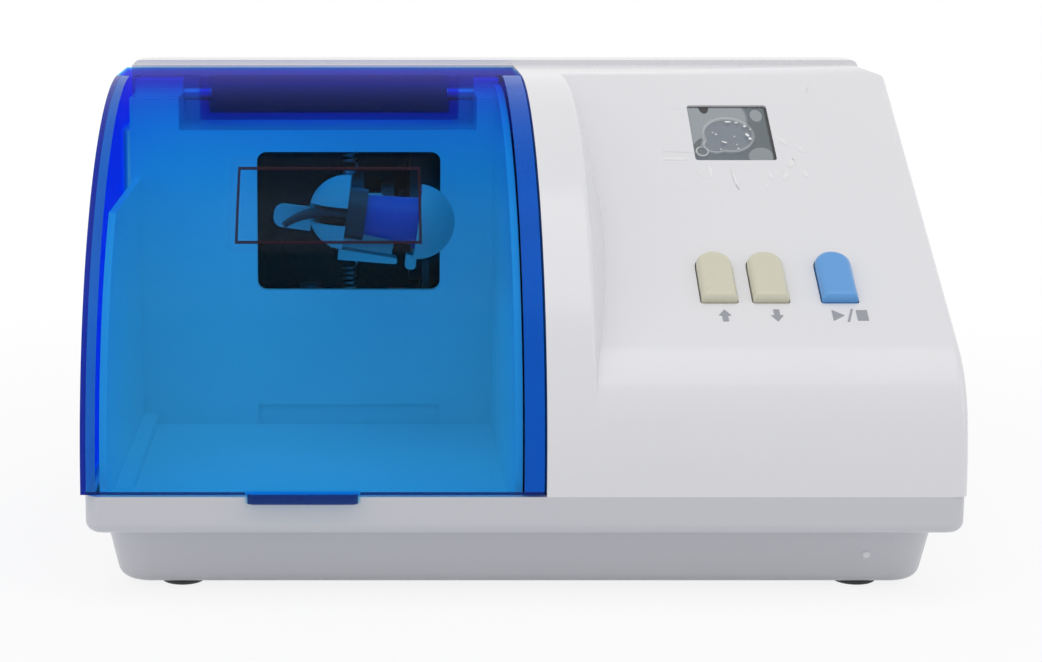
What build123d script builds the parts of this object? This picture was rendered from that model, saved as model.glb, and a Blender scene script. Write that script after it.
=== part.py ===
"""Dental amalgamator: a bench mixer that shakes a capsule of filling material behind a clear lid.

Millimetres, +Z up, the front faces -Y, X runs to the user's right. The origin is the middle of the
footprint on the bench. Two helper measures are used throughout: d is the depth behind the front seam,
and h is the height above the seam between the lower case and the housing.
"""
from build123d import *
import math
import os

# ---------------------------------------------------------------- driving sizes of the case
WIDTH = 235.0  # over the housing
DEPTH = 178.0  # from the front seam to the rear cover's back
WALL = 2.5  # moulded case wall
FOOT_H = 1.6  # of each rubber foot, under the lower case
TRAY_H = 28.4  # lower case, under the seam
BAND_H = 10.4  # full-width band at the top of the lower case
CROWN_H = 102.5  # flat top of the housing, above the seam
COVER_RISE = 1.5  # the rear cover stands this much above the housing
COVER_D = 15.0  # depth of the rear cover
CLEARANCE = 0.3  # between parts that move past each other
FIT = 0.06  # radial clearance of a pin that turns in its hole

FRONT = -DEPTH / 2
SEAM_Z = FOOT_H + TRAY_H
SIDE = WIDTH / 2
SPLIT_D = DEPTH - COVER_D  # the housing ends and the rear cover begins

# ---------------------------------------------------------------- depths set by the motor's place
MOTOR_R = 21.0
MOTOR_GAP = 2.5  # between the motor and the rear cover
MOTOR_FRONT_GAP = 3.4  # between the motor and the chamber's back wall
BACK_WALL = 2.6  # thickness of the chamber's back wall
CROWN_LEAD = 3.0  # the flat top begins this far before the chamber's back wall
SHAFT_D = DEPTH - WALL - MOTOR_GAP - MOTOR_R
BACK_D = SHAFT_D - MOTOR_R - MOTOR_FRONT_GAP - BACK_WALL  # front face of the chamber's back wall
CROWN_D = BACK_D - CROWN_LEAD  # depth at which the front curve reaches the flat top

# ---------------------------------------------------------------- lid
LID_WALL = 2.5
LID_LEFT = -SIDE - 0.8  # the lid's left wall stands a little proud of the housing
LID_RIGHT = 4.9
LID_LIFT = 0.6  # gap between the lid's lower edge and the lower case
BARREL_R = 8.5  # rolled rear edge of the lid, round the hinge axis
BARREL_D = SPLIT_D - WALL - 0.5 - BARREL_R
BARREL_H = CROWN_H - BARREL_R
KNUCKLE_LEFT = -94.8
KNUCKLE_RIGHT = -12.5
KNUCKLE_WEB = 3.0
PIN_R = 2.0
PIN_IN_EAR = 6.0
TAB_LEFT = -74.5
TAB_RIGHT = -44.0
TAB_REACH = 3.0
TAB_LOW = -1.3
TAB_HIGH = 1.9

# ---------------------------------------------------------------- mixing chamber behind the lid
CHAMBER_WALL = 2.0
CHAMBER_LEFT = -114.0
CHAMBER_RIGHT = -0.7
FLOOR_H = -8.3
LEDGE_H = -4.8
PAN_FRONT_D = 15.8
PAN_LEFT = -109.6
PAN_CORNER_R = 22.0
RIM_R = 5.0
CHEEK_H = 70.0
CHEEK_INSET = 8.0
LID_GAP = 0.7  # between the lid's inner face and the chamber's right wall
WINDOW_LEFT = -75.9
WINDOW_RIGHT = -18.8
WINDOW_LOW = 34.8
WINDOW_HIGH = 78.2
WINDOW_R = 3.0
SLOT_HIGH = -1.9  # shallow recess over the chamber floor
SLOT_DEEP = 1.2

# ---------------------------------------------------------------- hinge trough of the housing
TROUGH_CLEAR = 0.7  # round the lid's rolled edge
EAR_LEFT = -100.1  # the knuckle turns between these two faces
EAR_RIGHT = -7.6
EAR_TOP = 95.0
EAR_R = 5.4
LID_SLOT_LEFT = 0.3  # slot in which the lid's right wall swings
LID_SLOT_RIGHT = 5.6

# ---------------------------------------------------------------- control side
STRIP_RIGHT = 18.8  # the full curve runs from the lid to here, the flat panel lies beyond it
STRIP_T = 22.0
STRIP_LEAN = 7.0  # how much further right the foot of its side stands than the top
STRIP_R = 2.0
PANEL_ANGLE = 31.1
PANEL_TOE_R = 30.0  # rounding where the panel runs into the front curve
SIDE_R = 2.5
DISPLAY_X = 66.8
DISPLAY_DOWN = 29.6  # from the crown down the panel to the display's middle
DISPLAY_W = 24.0
DISPLAY_L = 27.2
DISPLAY_SINK = 0.6  # the window lies this far below the panel's face
DISPLAY_MODULE_T = 3.0
WINDOW_FLANGE = 2.0
WINDOW_FLANGE_T = 1.0
KEY_X = (54.6, 68.8, 87.7)
KEY_NAMES = ("key_up", "key_down", "key_start")
KEY_U = 45.3  # distance up the panel, from where its plane meets the front of the seam
KEY_W = 10.5
KEY_L = 20.6
KEY_RISE = 2.6
KEY_TRAVEL = 1.0
KEY_FLANGE = 1.4
KEY_FLANGE_T = 1.2
ICON_U = 30.0
ICON_RISE = 0.15
BOARD_DEEP = 14.0  # top of the control board under the panel's face
BOARD_T = 1.6

# ---------------------------------------------------------------- drive
SHAFT_H = 55.0
HUB_X = -47.0
SHAFT_R = 2.5
MOTOR_WALL = 1.6
MOTOR_LEFT = -28.0
MOTOR_L = 62.0
GAP_IN_MOTOR = 0.7
RING_R = 14.0
RING_W = 9.0
RACE_R = 11.2  # spherical raceway of the wobble bearing's outer ring
JOURNAL_TILT = 6.0
BALLS = 8
BALL_R = 1.6
CRADLE_TOP = 28.0
CRADLE_T = 2.0
DAMPER_R = 6.0
DAMPER_X = (-60.0, 36.0)
DAMPER_SPAN = 28.0
DAMPER_D = (SHAFT_D - 1.0 - DAMPER_SPAN / 2, SHAFT_D - 1.0 + DAMPER_SPAN / 2)
POST_H = 12.0  # top of the posts under the dampers
SPRING_WIRE_R = 0.4
SPRING_R = 2.1
SPRING_TURNS = 5
SPRING_LEAD = 1.4  # rise of the end turns, where the wire turns upright

# ---------------------------------------------------------------- capsule clip
CLIP_LEAD = 27.0  # the capsule's axis lies this far before the chamber's back wall
CLIP_D = BACK_D - CLIP_LEAD
CLIP_H = 61.6
CLIP_ROLL = 7.5  # the capsule lies a little lower at its right end
CUP_R = 11.3
CUP_WALL = 1.5
CUP_LEFT_X = -48.0  # rims of the two cups
CUP_RIGHT_X = -26.6
JAW_TRAVEL = 4.0
CAPSULE_R = 6.0
CAPSULE_FLARE = 1.2  # the barrel widens by this towards its right end
COLLAR_R = 7.8
COLLAR_L = 5.7

# ---------------------------------------------------------------- feet
FOOT_X = 93.0
FOOT_INSET = 25.0
FOOT_D = (FOOT_INSET, DEPTH - FOOT_INSET)
FOOT_R = 6.4
FOOT_SUNK = 2.0  # the feet lie this deep in the lower case
BAND_R = 5.0  # corners of the lower case, seen from above


def py(d):
    """Y of a point d behind the front seam."""
    return FRONT + d


def pz(h):
    """Z of a point h above the seam."""
    return SEAM_Z + h


def block(x0, x1, d0, d1, h0, h1):
    """A box between two X, two depths and two heights."""
    size = (x1 - x0, d1 - d0, h1 - h0)
    return Pos((x0 + x1) / 2, py((d0 + d1) / 2), pz((h0 + h1) / 2)) * Box(*size)


def rod_x(x0, x1, d, h, r):
    """A round bar along X."""
    return Pos((x0 + x1) / 2, py(d), pz(h)) * Rot(0, 90, 0) * Cylinder(r, x1 - x0)


def rod_y(x, d0, d1, h, r):
    """A round bar along Y."""
    return Pos(x, py((d0 + d1) / 2), pz(h)) * Rot(90, 0, 0) * Cylinder(r, d1 - d0)


def rod_z(x, d, h0, h1, r):
    """A round bar along Z."""
    return Pos(x, py(d), pz((h0 + h1) / 2)) * Cylinder(r, h1 - h0)


def tube_x(x0, x1, d, h, r_out, r_in):
    """A round tube along X."""
    return rod_x(x0, x1, d, h, r_out) - rod_x(x0 - 1, x1 + 1, d, h, r_in)


def prism(outline, x0, x1):
    """A side outline, drawn in Y and Z, run from one X to another."""
    return extrude(Plane.YZ.offset(x0) * outline, amount=x1 - x0)


def side_polygon(*points):
    """A side outline from corners given as depth and height."""
    return make_face(Polyline(*[(py(d), pz(h)) for d, h in points], close=True))


def front_curve(inset):
    """The quarter ellipse of the front, drawn in by inset, from the crown down to the seam."""
    centre = (py(CROWN_D), pz(0))
    return EllipticalCenterArc(centre, CROWN_D - inset, CROWN_H - inset, start_angle=90, arc_size=90)


def curve_outline(inset, rear):
    """Side outline under the front curve, drawn in by inset."""
    top = pz(CROWN_H - inset)
    lines = [
        front_curve(inset),
        Line((py(inset), pz(0)), (py(rear), pz(0))),
        Line((py(rear), pz(0)), (py(rear), top)),
        Line((py(rear), top), (py(CROWN_D), top)),
    ]
    return make_face(lines)


def curve_outline_to(low, inset, rear):
    """The same outline, run on down below the seam."""
    below = side_polygon((inset, low), (rear, low), (rear, 0), (inset, 0))
    return curve_outline(inset, rear) + below


PANEL_RAD = math.radians(PANEL_ANGLE)
CROWN_U = CROWN_D / math.cos(PANEL_RAD)  # the panel's length up to the crown
DISPLAY_U = CROWN_U - DISPLAY_DOWN
PANEL_TOE_H = CROWN_H - CROWN_D * math.tan(PANEL_RAD)  # the panel's plane over the front seam
PANEL = Plane(
    origin=(0, py(0), pz(PANEL_TOE_H)),
    x_dir=(1, 0, 0),
    z_dir=(0, -math.sin(PANEL_RAD), math.cos(PANEL_RAD)),
)


def panel_outline(inset, rear):
    """Side outline under the front curve and under the sloping panel."""
    drop = inset / math.cos(PANEL_RAD)
    slope = math.tan(PANEL_RAD)
    over = side_polygon(
        (-50, PANEL_TOE_H - drop - 50 * slope),
        (rear + 50, PANEL_TOE_H - drop + (rear + 50) * slope),
        (rear + 50, 2 * CROWN_H),
        (-50, 2 * CROWN_H),
    )
    outline = curve_outline(inset, rear) - over
    toe = outline.vertices().sort_by(lambda v: v.X - v.Y).sort_by(lambda v: toe_distance(v, inset))[0]
    return fillet(toe, PANEL_TOE_R - inset)


def toe_distance(vertex, inset):
    """How far a corner is from where the panel's plane cuts the front curve."""
    slope = math.tan(PANEL_RAD)
    a = CROWN_D - inset
    b = CROWN_H - inset
    base = PANEL_TOE_H - inset / math.cos(PANEL_RAD)
    # (CROWN_D - d)^2 / a^2 + (base + slope d)^2 / b^2 = 1
    qa = 1 / a**2 + slope**2 / b**2
    qb = -2 * CROWN_D / a**2 + 2 * base * slope / b**2
    qc = CROWN_D**2 / a**2 + base**2 / b**2 - 1
    d = (-qb - math.sqrt(qb * qb - 4 * qa * qc)) / (2 * qa)
    return math.hypot(vertex.X - py(d), vertex.Y - pz(base + slope * d))


def on_panel(x, u, w=0.0):
    """A place on the panel: x across, u up the slope and w out of its face."""
    return PANEL * Pos(x, u, w)


def group(solids):
    """Several like pieces in one node."""
    return Compound(children=list(solids))


# ---------------------------------------------------------------- lower case
LOWER_INSET = 3.2
LOWER_FRONT = 12.0
LOWER_REAR = 6.0
LOWER_R = 13.0
LOWER_DRAFT = 13.0
VENTS = 7
VENT_PITCH = 8.0
VENT_L = 46.0
VENT_W = 3.0
VENT_X = 60.0
VENT_D = SHAFT_D - 56.0
# each screw's X and depth, and the X of the wall that its boss is webbed to
SCREW_X = 100.0
SCREW_FRONT_D = 42.0
SCREW_REAR_D = DEPTH - 44.0
CASE_SCREWS = (
    (SCREW_X, SCREW_FRONT_D, SIDE - 1),
    (SCREW_X, SCREW_REAR_D, SIDE - 1),
    (-SCREW_X, SCREW_REAR_D, 1 - SIDE),
    (LID_SLOT_RIGHT + 12.4, SCREW_FRONT_D - 2.0, LID_SLOT_RIGHT + 1),
)
CASE_SCREW_R = 1.5
SCREW_BITE = 0.25  # a screw's thread bites this far into its boss
HEAD_R = 3.0
HEAD_SINK = 4.0  # depth of the holes that the case screws' heads lie in
BOSS_R = 4.0
BOSS_H = 18.0
KNOB_X = (-32.0, 14.0)
KNOB_D = SHAFT_D
KNOB_R = 8.0
KNOB_WELL_H = 7.0
KNOB_LIFT = 0.8
KNOB_SHAFT_R = 3.0
KNOB_GRIP = 4.0  # width of the bar that the fingers turn
FLOOR_TOP = -TRAY_H + WALL
TRANSFORMER_LIFT = 5.0
TRANSFORMER_X = 82.0
TRANSFORMER_D = 66.0
TRANSFORMER_SPAN = 44.0
TRANSFORMER_FEET = (
    (TRANSFORMER_X - TRANSFORMER_SPAN / 2, TRANSFORMER_D),
    (TRANSFORMER_X + TRANSFORMER_SPAN / 2, TRANSFORMER_D),
)


def tray_plan(inset, front, rear, radius, h):
    """A rounded outline of the lower case, seen from above, at height h."""
    wide = WIDTH - 2 * inset
    deep = DEPTH - front - rear
    plane = Plane.XY.offset(pz(h))
    return plane * Pos(0, py(front + deep / 2)) * RectangleRounded(wide, deep, radius)


def base_tray():
    """Lower case: a full-width band over a drawn-in, drafted body, open at the top."""
    band = extrude(tray_plan(0, 0, 0, BAND_R, -BAND_H), amount=BAND_H)
    band = fillet(band.faces().sort_by(Axis.Z)[0].edges(), 3)
    lower_plan = tray_plan(LOWER_INSET, LOWER_FRONT, LOWER_REAR, LOWER_R, -BAND_H)
    lower = extrude(lower_plan, amount=-(TRAY_H - BAND_H), taper=LOWER_DRAFT)
    lower = fillet(lower.faces().sort_by(Axis.Z)[0].edges(), 4)
    inner_band = extrude(tray_plan(WALL, WALL, WALL, BAND_R - WALL, WALL - BAND_H), amount=BAND_H)
    inner_plan = tray_plan(
        LOWER_INSET + WALL, LOWER_FRONT + WALL, LOWER_REAR + WALL, LOWER_R - WALL, WALL - BAND_H
    )
    inner_lower = extrude(inner_plan, amount=-(TRAY_H - BAND_H), taper=LOWER_DRAFT)
    tray = band + lower - inner_band - inner_lower
    for x, d, _ in CASE_SCREWS:
        tray += rod_z(x, d, FLOOR_TOP - 1, 0, BOSS_R)
    for x, d in foot_places():
        tray += rod_z(x, d, FLOOR_TOP - 1, FLOOR_TOP + 1.5, FOOT_R + 2)
        tray += rod_z(x, d, FLOOR_TOP - 1, FLOOR_TOP + 6, BOSS_R)
    for x in DAMPER_X:
        for d in DAMPER_D:
            tray += rod_z(x, d, FLOOR_TOP - 1, POST_H, 4.5)
    for x in KNOB_X:
        tray += rod_z(x, KNOB_D, -TRAY_H, -TRAY_H + KNOB_WELL_H + 2, KNOB_R + 3)
    for x, d in TRANSFORMER_FEET:
        tray += rod_z(x, d, FLOOR_TOP - 1, FLOOR_TOP + TRANSFORMER_LIFT, BOSS_R)
    # holes, after everything that stands on the floor
    for x, d, _ in CASE_SCREWS:
        tray -= rod_z(x, d, -TRAY_H - 1, 1, CASE_SCREW_R)
        tray -= rod_z(x, d, -TRAY_H - 1, -TRAY_H + HEAD_SINK, HEAD_R + 0.2)
    for x, d in foot_places():
        tray -= rod_z(x, d, -TRAY_H - 1, FLOOR_TOP + 5, CASE_SCREW_R)
        tray -= rod_z(x, d, -TRAY_H - 1, -TRAY_H + FOOT_SUNK, FOOT_R + 0.1)
    for x in DAMPER_X:
        for d in DAMPER_D:
            tray -= rod_z(x, d, POST_H - 12, POST_H + 1, 1.25)
    for x in KNOB_X:
        tray -= rod_z(x, KNOB_D, -TRAY_H - 1, -TRAY_H + KNOB_WELL_H, KNOB_R + 0.8)
        tray -= rod_z(x, KNOB_D, -TRAY_H, 0, KNOB_SHAFT_R + CLEARANCE)
    for i in range(VENTS):
        x = VENT_X + (i - (VENTS - 1) / 2) * VENT_PITCH
        tray -= block(x - VENT_W / 2, x + VENT_W / 2, VENT_D, VENT_D + VENT_L, -TRAY_H - 1, FLOOR_TOP + 1)
    return tray


# ---------------------------------------------------------------- housing
REAR_BOSSES = ((SIDE - 7.0, 22.0), (SIDE - 7.0, 76.0), (7.0 - SIDE, 22.0), (7.0 - SIDE, 76.0))
REAR_BOSS_L = 12.0
SLAB_TOP = BARREL_H - BARREL_R - TROUGH_CLEAR
SLAB_LOW = SLAB_TOP - WALL


def strip(inset, x0, x1, radius):
    """The full-curve strip beside the lid: a band that follows the front curve, with a leaning side."""
    rear = SPLIT_D
    top = CROWN_H - inset
    section_plane = Plane(origin=(x0, py(rear), pz(top)), x_dir=(1, 0, 0), z_dir=(0, -1, 0))
    width = x1 - x0
    depth = STRIP_T - inset
    section = make_face(Polyline((0, 0), (width, 0), (width + STRIP_LEAN, -depth), (0, -depth), close=True))
    if radius:
        corner = section.vertices().sort_by_distance((width, 0, 0))[0]
        section = fillet(corner, radius)
    plane = Plane.YZ.offset(x0)
    curve = front_curve(inset)
    run = Wire([(plane * Line((py(rear), pz(top)), curve @ 0)).edge(), (plane * curve).edge()])
    return sweep(section_plane * section, path=run)


def housing():
    """Upper case: the control side, the left flank and the trough that the lid's hinge lies in."""
    outer = prism(panel_outline(0, SPLIT_D), LID_SLOT_RIGHT, SIDE)
    flank = [e for e in outer.faces().sort_by(Axis.X)[-1].edges() if e.center().Z > pz(1)]
    flank = [e for e in flank if e.center().Y < py(SPLIT_D - 0.5)]
    outer = fillet(flank, SIDE_R)
    outer += strip(0, LID_SLOT_RIGHT, STRIP_RIGHT, STRIP_R)
    inner = prism(panel_outline(WALL, SPLIT_D + 1), LID_SLOT_RIGHT + WALL, SIDE - WALL)
    inner += strip(WALL, LID_SLOT_RIGHT + WALL, STRIP_RIGHT - WALL, 0)
    body = outer - inner
    body -= block(LID_SLOT_RIGHT - 1, SIDE, -20, DEPTH, -10, 0)
    # passage for the motor through the inner wall
    body -= block(0, LID_SLOT_RIGHT + WALL + 1, BACK_D + BACK_WALL, SPLIT_D + 1, -1, SLAB_LOW)
    body += left_flank()
    body += panel_bosses()
    body = body - display_hole() - key_holes()
    for x, d, wall_x in CASE_SCREWS:
        body += rod_z(x, d, 0, BOSS_H, BOSS_R)
        body += block(min(x, wall_x), max(x, wall_x), d - 1, d + 1, 0.5, BOSS_H)
        body -= rod_z(x, d, -1, BOSS_H - 3, CASE_SCREW_R - SCREW_BITE)
    for x, h in REAR_BOSSES:
        wall_x = math.copysign(SIDE - 1, x)
        body += rod_y(x, SPLIT_D - REAR_BOSS_L, SPLIT_D, h, BOSS_R)
        body += block(min(x, wall_x), max(x, wall_x), SPLIT_D - REAR_BOSS_L, SPLIT_D, h - 1, h + 1)
        body -= rod_y(x, SPLIT_D - REAR_BOSS_L + 2, SPLIT_D + 1, h, CASE_SCREW_R - SCREW_BITE)
    return body


def left_flank():
    """Left side wall, hinge trough, its two ears and the wall behind the lid."""
    front = BACK_D + BACK_WALL
    right = LID_SLOT_RIGHT + WALL
    flank = block(-SIDE, -SIDE + WALL, front, SPLIT_D, 0, SLAB_LOW)
    slab = block(-SIDE, right, front, SPLIT_D, SLAB_LOW, SLAB_TOP)
    behind = block(-SIDE, right, SPLIT_D - WALL + 0.2, SPLIT_D, SLAB_TOP, CROWN_H)
    ears = None
    for x0, x1 in ((-SIDE + WALL - 0.2, EAR_LEFT), (EAR_RIGHT, LID_SLOT_LEFT)):
        web = block(x0, x1, front, BARREL_D - 0.8, SLAB_TOP, EAR_TOP)
        web += block(x0, x1, BARREL_D - 4.8, BARREL_D - 0.8, SLAB_TOP, BARREL_H + EAR_R - 1)
        web += rod_x(x0, x1, BARREL_D, BARREL_H, EAR_R)
        ears = web if ears is None else ears + web
    for x0, x1 in pin_spans():
        ears -= rod_x(x0, x1, BARREL_D, BARREL_H, PIN_R + FIT / 2)
    return flank + slab + behind + ears


def pin_spans():
    """Ends of the two hinge pins."""
    deep = KNUCKLE_WEB + 1.0
    return (
        (EAR_LEFT - PIN_IN_EAR, KNUCKLE_LEFT + deep),
        (KNUCKLE_RIGHT - deep, EAR_RIGHT + PIN_IN_EAR),
    )


def key_plan(grow):
    """A key's outline: square at the lower end and arched at the upper end."""
    wide = KEY_W + 2 * grow
    long = KEY_L + 2 * grow
    low = -long / 2
    shoulder = long / 2 - wide / 2
    straight = Pos(0, (low + shoulder) / 2) * Rectangle(wide, shoulder - low)
    plan = straight + Pos(0, shoulder) * Circle(wide / 2)
    corners = plan.vertices().sort_by(Axis.Y)[:2]
    return fillet(corners, 0.8 + grow)


def key_holes():
    """Openings in the panel for the three keys."""
    holes = []
    for x in KEY_X:
        holes.append(extrude(on_panel(x, KEY_U, -WALL - 1) * key_plan(0), amount=WALL + 2))
    return holes


def display_hole():
    """Opening in the panel for the display window."""
    plan = RectangleRounded(DISPLAY_W, DISPLAY_L, 1.0)
    return extrude(on_panel(DISPLAY_X, DISPLAY_U, -WALL - 1) * plan, amount=WALL + 2)


BOARD_LEFT = 40.0
BOARD_RIGHT = 104.0
BOARD_LOW_U = 33.0
BOARD_HIGH_U = CROWN_U - 10.5
BOARD_INSET = 4.0
BOARD_BOSS_R = 2.6


def board_corners():
    """The control board's four screw places, across and up the panel."""
    xs = (BOARD_LEFT + BOARD_INSET, BOARD_RIGHT - BOARD_INSET)
    us = (BOARD_LOW_U + BOARD_INSET, BOARD_HIGH_U - BOARD_INSET)
    return [(x, u) for x in xs for u in us]


def panel_bosses():
    """Posts under the panel that carry the control board."""
    posts = None
    for x, u in board_corners():
        post = on_panel(x, u, -(BOARD_DEEP + 1) / 2) * Cylinder(BOARD_BOSS_R, BOARD_DEEP - 1)
        post -= on_panel(x, u, -BOARD_DEEP + 4) * Cylinder(0.9, 10)
        posts = post if posts is None else posts + post
    return posts


# ---------------------------------------------------------------- rear cover
INLET_X = 86.0
INLET_H = 24.0
INLET_W = 27.0
INLET_T = 19.5
INLET_WALL = 1.6
SOCKET_DEEP = 16.0
FUSE_X = 60.0
FUSE_H = 24.0
FUSE_R = 6.0
SWITCH_X = 60.0
SWITCH_H = 52.0
SWITCH_W = 13.0
SWITCH_T = 19.0
GRILLE_SLOTS = 9
GRILLE_PITCH = 7.0
GRILLE_X = -20.0
GRILLE_LOW = 34.0
GRILLE_HIGH = 74.0
REAR_R = 8.0


def cover_outline(inset):
    """Rear cover seen from above."""
    wide = WIDTH - 2 * inset
    deep = COVER_D - inset
    plan = Pos(0, py(SPLIT_D + deep / 2)) * Rectangle(wide, deep)
    rear = plan.vertices().sort_by(Axis.Y)[-2:]
    return fillet(rear, REAR_R - inset)


def rear_cover():
    """Rear cover: a shallow tray with the mains parts and a vent grille."""
    top = CROWN_H + COVER_RISE
    outer = extrude(Plane.XY.offset(pz(0)) * cover_outline(0), amount=top)
    edges = [e for e in outer.faces().sort_by(Axis.Z)[-1].edges() if e.center().Y > py(SPLIT_D + 0.5)]
    outer = fillet(edges, SIDE_R)
    inner = extrude(Plane.XY.offset(pz(-1)) * cover_outline(WALL), amount=top - WALL + 1)
    cover = outer - (inner - block(-SIDE, SIDE, SPLIT_D - 5, SPLIT_D, -2, top))
    lip = block(-SIDE + 6, SIDE - 6, DEPTH - WALL - 0.5, DEPTH - WALL, -1, 0)
    cover -= lip
    for x, h in REAR_BOSSES:
        cover += rod_y(x, SPLIT_D, DEPTH - 1, h, BOSS_R)
        cover -= rod_y(x, SPLIT_D - 1, DEPTH + 1, h, CASE_SCREW_R)
        cover -= rod_y(x, DEPTH - 2.4, DEPTH + 1, h, HEAD_R + 0.2)
    cover -= block(
        INLET_X - INLET_W / 2, INLET_X + INLET_W / 2, DEPTH - 8, DEPTH + 1,
        INLET_H - INLET_T / 2, INLET_H + INLET_T / 2,
    )
    cover -= block(
        SWITCH_X - SWITCH_W / 2, SWITCH_X + SWITCH_W / 2, DEPTH - 8, DEPTH + 1,
        SWITCH_H - SWITCH_T / 2, SWITCH_H + SWITCH_T / 2,
    )
    cover -= rod_y(FUSE_X, DEPTH - 8, DEPTH + 1, FUSE_H, FUSE_R)
    for i in range(GRILLE_SLOTS):
        x = GRILLE_X + (i - (GRILLE_SLOTS - 1) / 2) * GRILLE_PITCH
        cover -= block(x - 1.5, x + 1.5, DEPTH - 8, DEPTH + 1, GRILLE_LOW, GRILLE_HIGH)
    return cover


# ---------------------------------------------------------------- chamber
def mixing_chamber():
    """White liner behind the lid: pan, back wall with its window, right wall and left cheek."""
    t = CHAMBER_WALL
    rear = BACK_D + BACK_WALL
    right = LID_SLOT_RIGHT
    back = block(CHAMBER_LEFT, right, BACK_D, rear, LEDGE_H - t, SLAB_TOP)
    back += block(-SIDE + WALL - 0.2, EAR_LEFT, BACK_D, rear, 0.2, EAR_TOP)
    back += block(EAR_RIGHT, LID_SLOT_LEFT, BACK_D, rear, SLAB_TOP, EAR_TOP)
    back -= block(CHAMBER_RIGHT, right + 1, BACK_D - 1, rear + 1, FLOOR_H - t - 1, 0.2)
    wide = WINDOW_RIGHT - WINDOW_LEFT
    tall = WINDOW_HIGH - WINDOW_LOW
    middle = Pos((WINDOW_LEFT + WINDOW_RIGHT) / 2, py(BACK_D), pz((WINDOW_LOW + WINDOW_HIGH) / 2))
    hole = middle * Rot(90, 0, 0) * Box(wide, tall, 20)
    back -= fillet(hole.edges().filter_by(Axis.Y), WINDOW_R)
    ledge = block(CHAMBER_LEFT, CHAMBER_RIGHT, 3, rear, LEDGE_H - t, LEDGE_H)
    pan = pan_solid(0, FLOOR_H - t, LEDGE_H)
    hollow = pan_solid(t, FLOOR_H, LEDGE_H + 1)
    rim = fillet(front_left_edge(block(CHAMBER_LEFT, CHAMBER_RIGHT, 3, rear, LEDGE_H - t, 0)), RIM_R)
    hole = block(CHAMBER_LEFT + t, CHAMBER_RIGHT - t, 3 + t, rear + 1, LEDGE_H - t - 1, 1)
    front = rim - fillet(front_left_edge(hole), RIM_R - t)
    inset = LID_WALL + LID_GAP
    wall = prism(curve_outline_to(LEDGE_H, inset, rear), CHAMBER_RIGHT - t, CHAMBER_RIGHT)
    wall -= block(CHAMBER_RIGHT - t - 1, CHAMBER_RIGHT + 1, CROWN_D, DEPTH, EAR_TOP, CROWN_H)
    wall -= block(CHAMBER_RIGHT - t - 1, CHAMBER_RIGHT + 1, BACK_D, DEPTH, LEDGE_H, CROWN_H)
    cheek = prism(curve_outline_to(LEDGE_H, CHEEK_INSET, rear), CHAMBER_LEFT, CHAMBER_LEFT + t)
    cheek -= block(CHAMBER_LEFT - 1, CHAMBER_LEFT + t + 1, -1, DEPTH, CHEEK_H, CROWN_H + 1)
    chamber = back + ((ledge & rim) + pan - hollow) + front + wall + cheek
    chamber -= block(CHAMBER_RIGHT, right + 1, 0, rear + 1, FLOOR_H - t - 1, 0.2)
    recess = block(WINDOW_LEFT, WINDOW_RIGHT, BACK_D - 1, BACK_D + SLOT_DEEP, FLOOR_H, SLOT_HIGH)
    return chamber - recess


def pan_solid(inset, low, high):
    """Plan of the chamber's sunk floor, rounded at its front left corner, as a block."""
    x0 = PAN_LEFT + inset
    x1 = CHAMBER_RIGHT - inset
    d0 = PAN_FRONT_D + inset
    d1 = BACK_D + BACK_WALL if inset == 0 else BACK_D
    solid = block(x0, x1, d0, d1, low, high)
    return fillet(front_left_edge(solid), PAN_CORNER_R - inset)


def front_left_edge(solid):
    """The upright edge at a block's front left corner."""
    return solid.edges().filter_by(Axis.Z).sort_by(lambda e: e.center().X + e.center().Y)[0]


# ---------------------------------------------------------------- lid
def lifted_curve(inset):
    """The front curve, drawn in by inset, from the crown down to the lid's lower edge."""
    size = 90 - math.degrees(math.asin(LID_LIFT / (CROWN_H - inset)))
    centre = (py(CROWN_D), pz(0))
    return EllipticalCenterArc(centre, CROWN_D - inset, CROWN_H - inset, start_angle=90, arc_size=size)


def chain(*corners):
    """Straight runs through places given as depth and height."""
    places = [(py(d), pz(h)) for d, h in corners]
    return [Line(start, end) for start, end in zip(places, places[1:])]


def barrel_arc(radius, size):
    """An arc round the hinge axis, from the top towards the rear."""
    return CenterArc((py(BARREL_D), pz(BARREL_H)), radius, 90, -size)


def depth_of(curve):
    """Depth of the lower end of a front curve."""
    return (curve @ 1).X - FRONT


def sector_outline():
    """Side wall of the lid, which ends in the rolled edge's disc."""
    rear = BACK_D - 0.6
    low = BARREL_H - BARREL_R
    outer = lifted_curve(0)
    edges = [outer, barrel_arc(BARREL_R, 180)]
    edges += chain((CROWN_D, CROWN_H), (BARREL_D, CROWN_H))
    edges += chain((BARREL_D, low), (rear, low), (rear, LID_LIFT), (depth_of(outer), LID_LIFT))
    return make_face(edges)


def skin_outline(rolled):
    """Curved sheet of the lid: its rear edge is a quarter roll, or a full one along the knuckle."""
    outer = lifted_curve(0)
    inner = lifted_curve(LID_WALL)
    under = CROWN_H - LID_WALL
    inner_r = BARREL_R - LID_WALL
    edges = [outer, inner]
    edges += chain((CROWN_D, CROWN_H), (BARREL_D, CROWN_H))
    edges += chain((depth_of(outer), LID_LIFT), (depth_of(inner), LID_LIFT))
    if rolled:
        meet = math.sqrt(BARREL_R**2 - inner_r**2)
        edges.append(barrel_arc(BARREL_R, 270 + math.degrees(math.asin(inner_r / BARREL_R))))
        edges += chain((BARREL_D - meet, under), (CROWN_D, under))
    else:
        edges += [barrel_arc(BARREL_R, 90), barrel_arc(inner_r, 90)]
        edges += chain((BARREL_D + BARREL_R, BARREL_H), (BARREL_D + inner_r, BARREL_H))
        edges += chain((BARREL_D, under), (CROWN_D, under))
    return make_face(edges)


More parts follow.
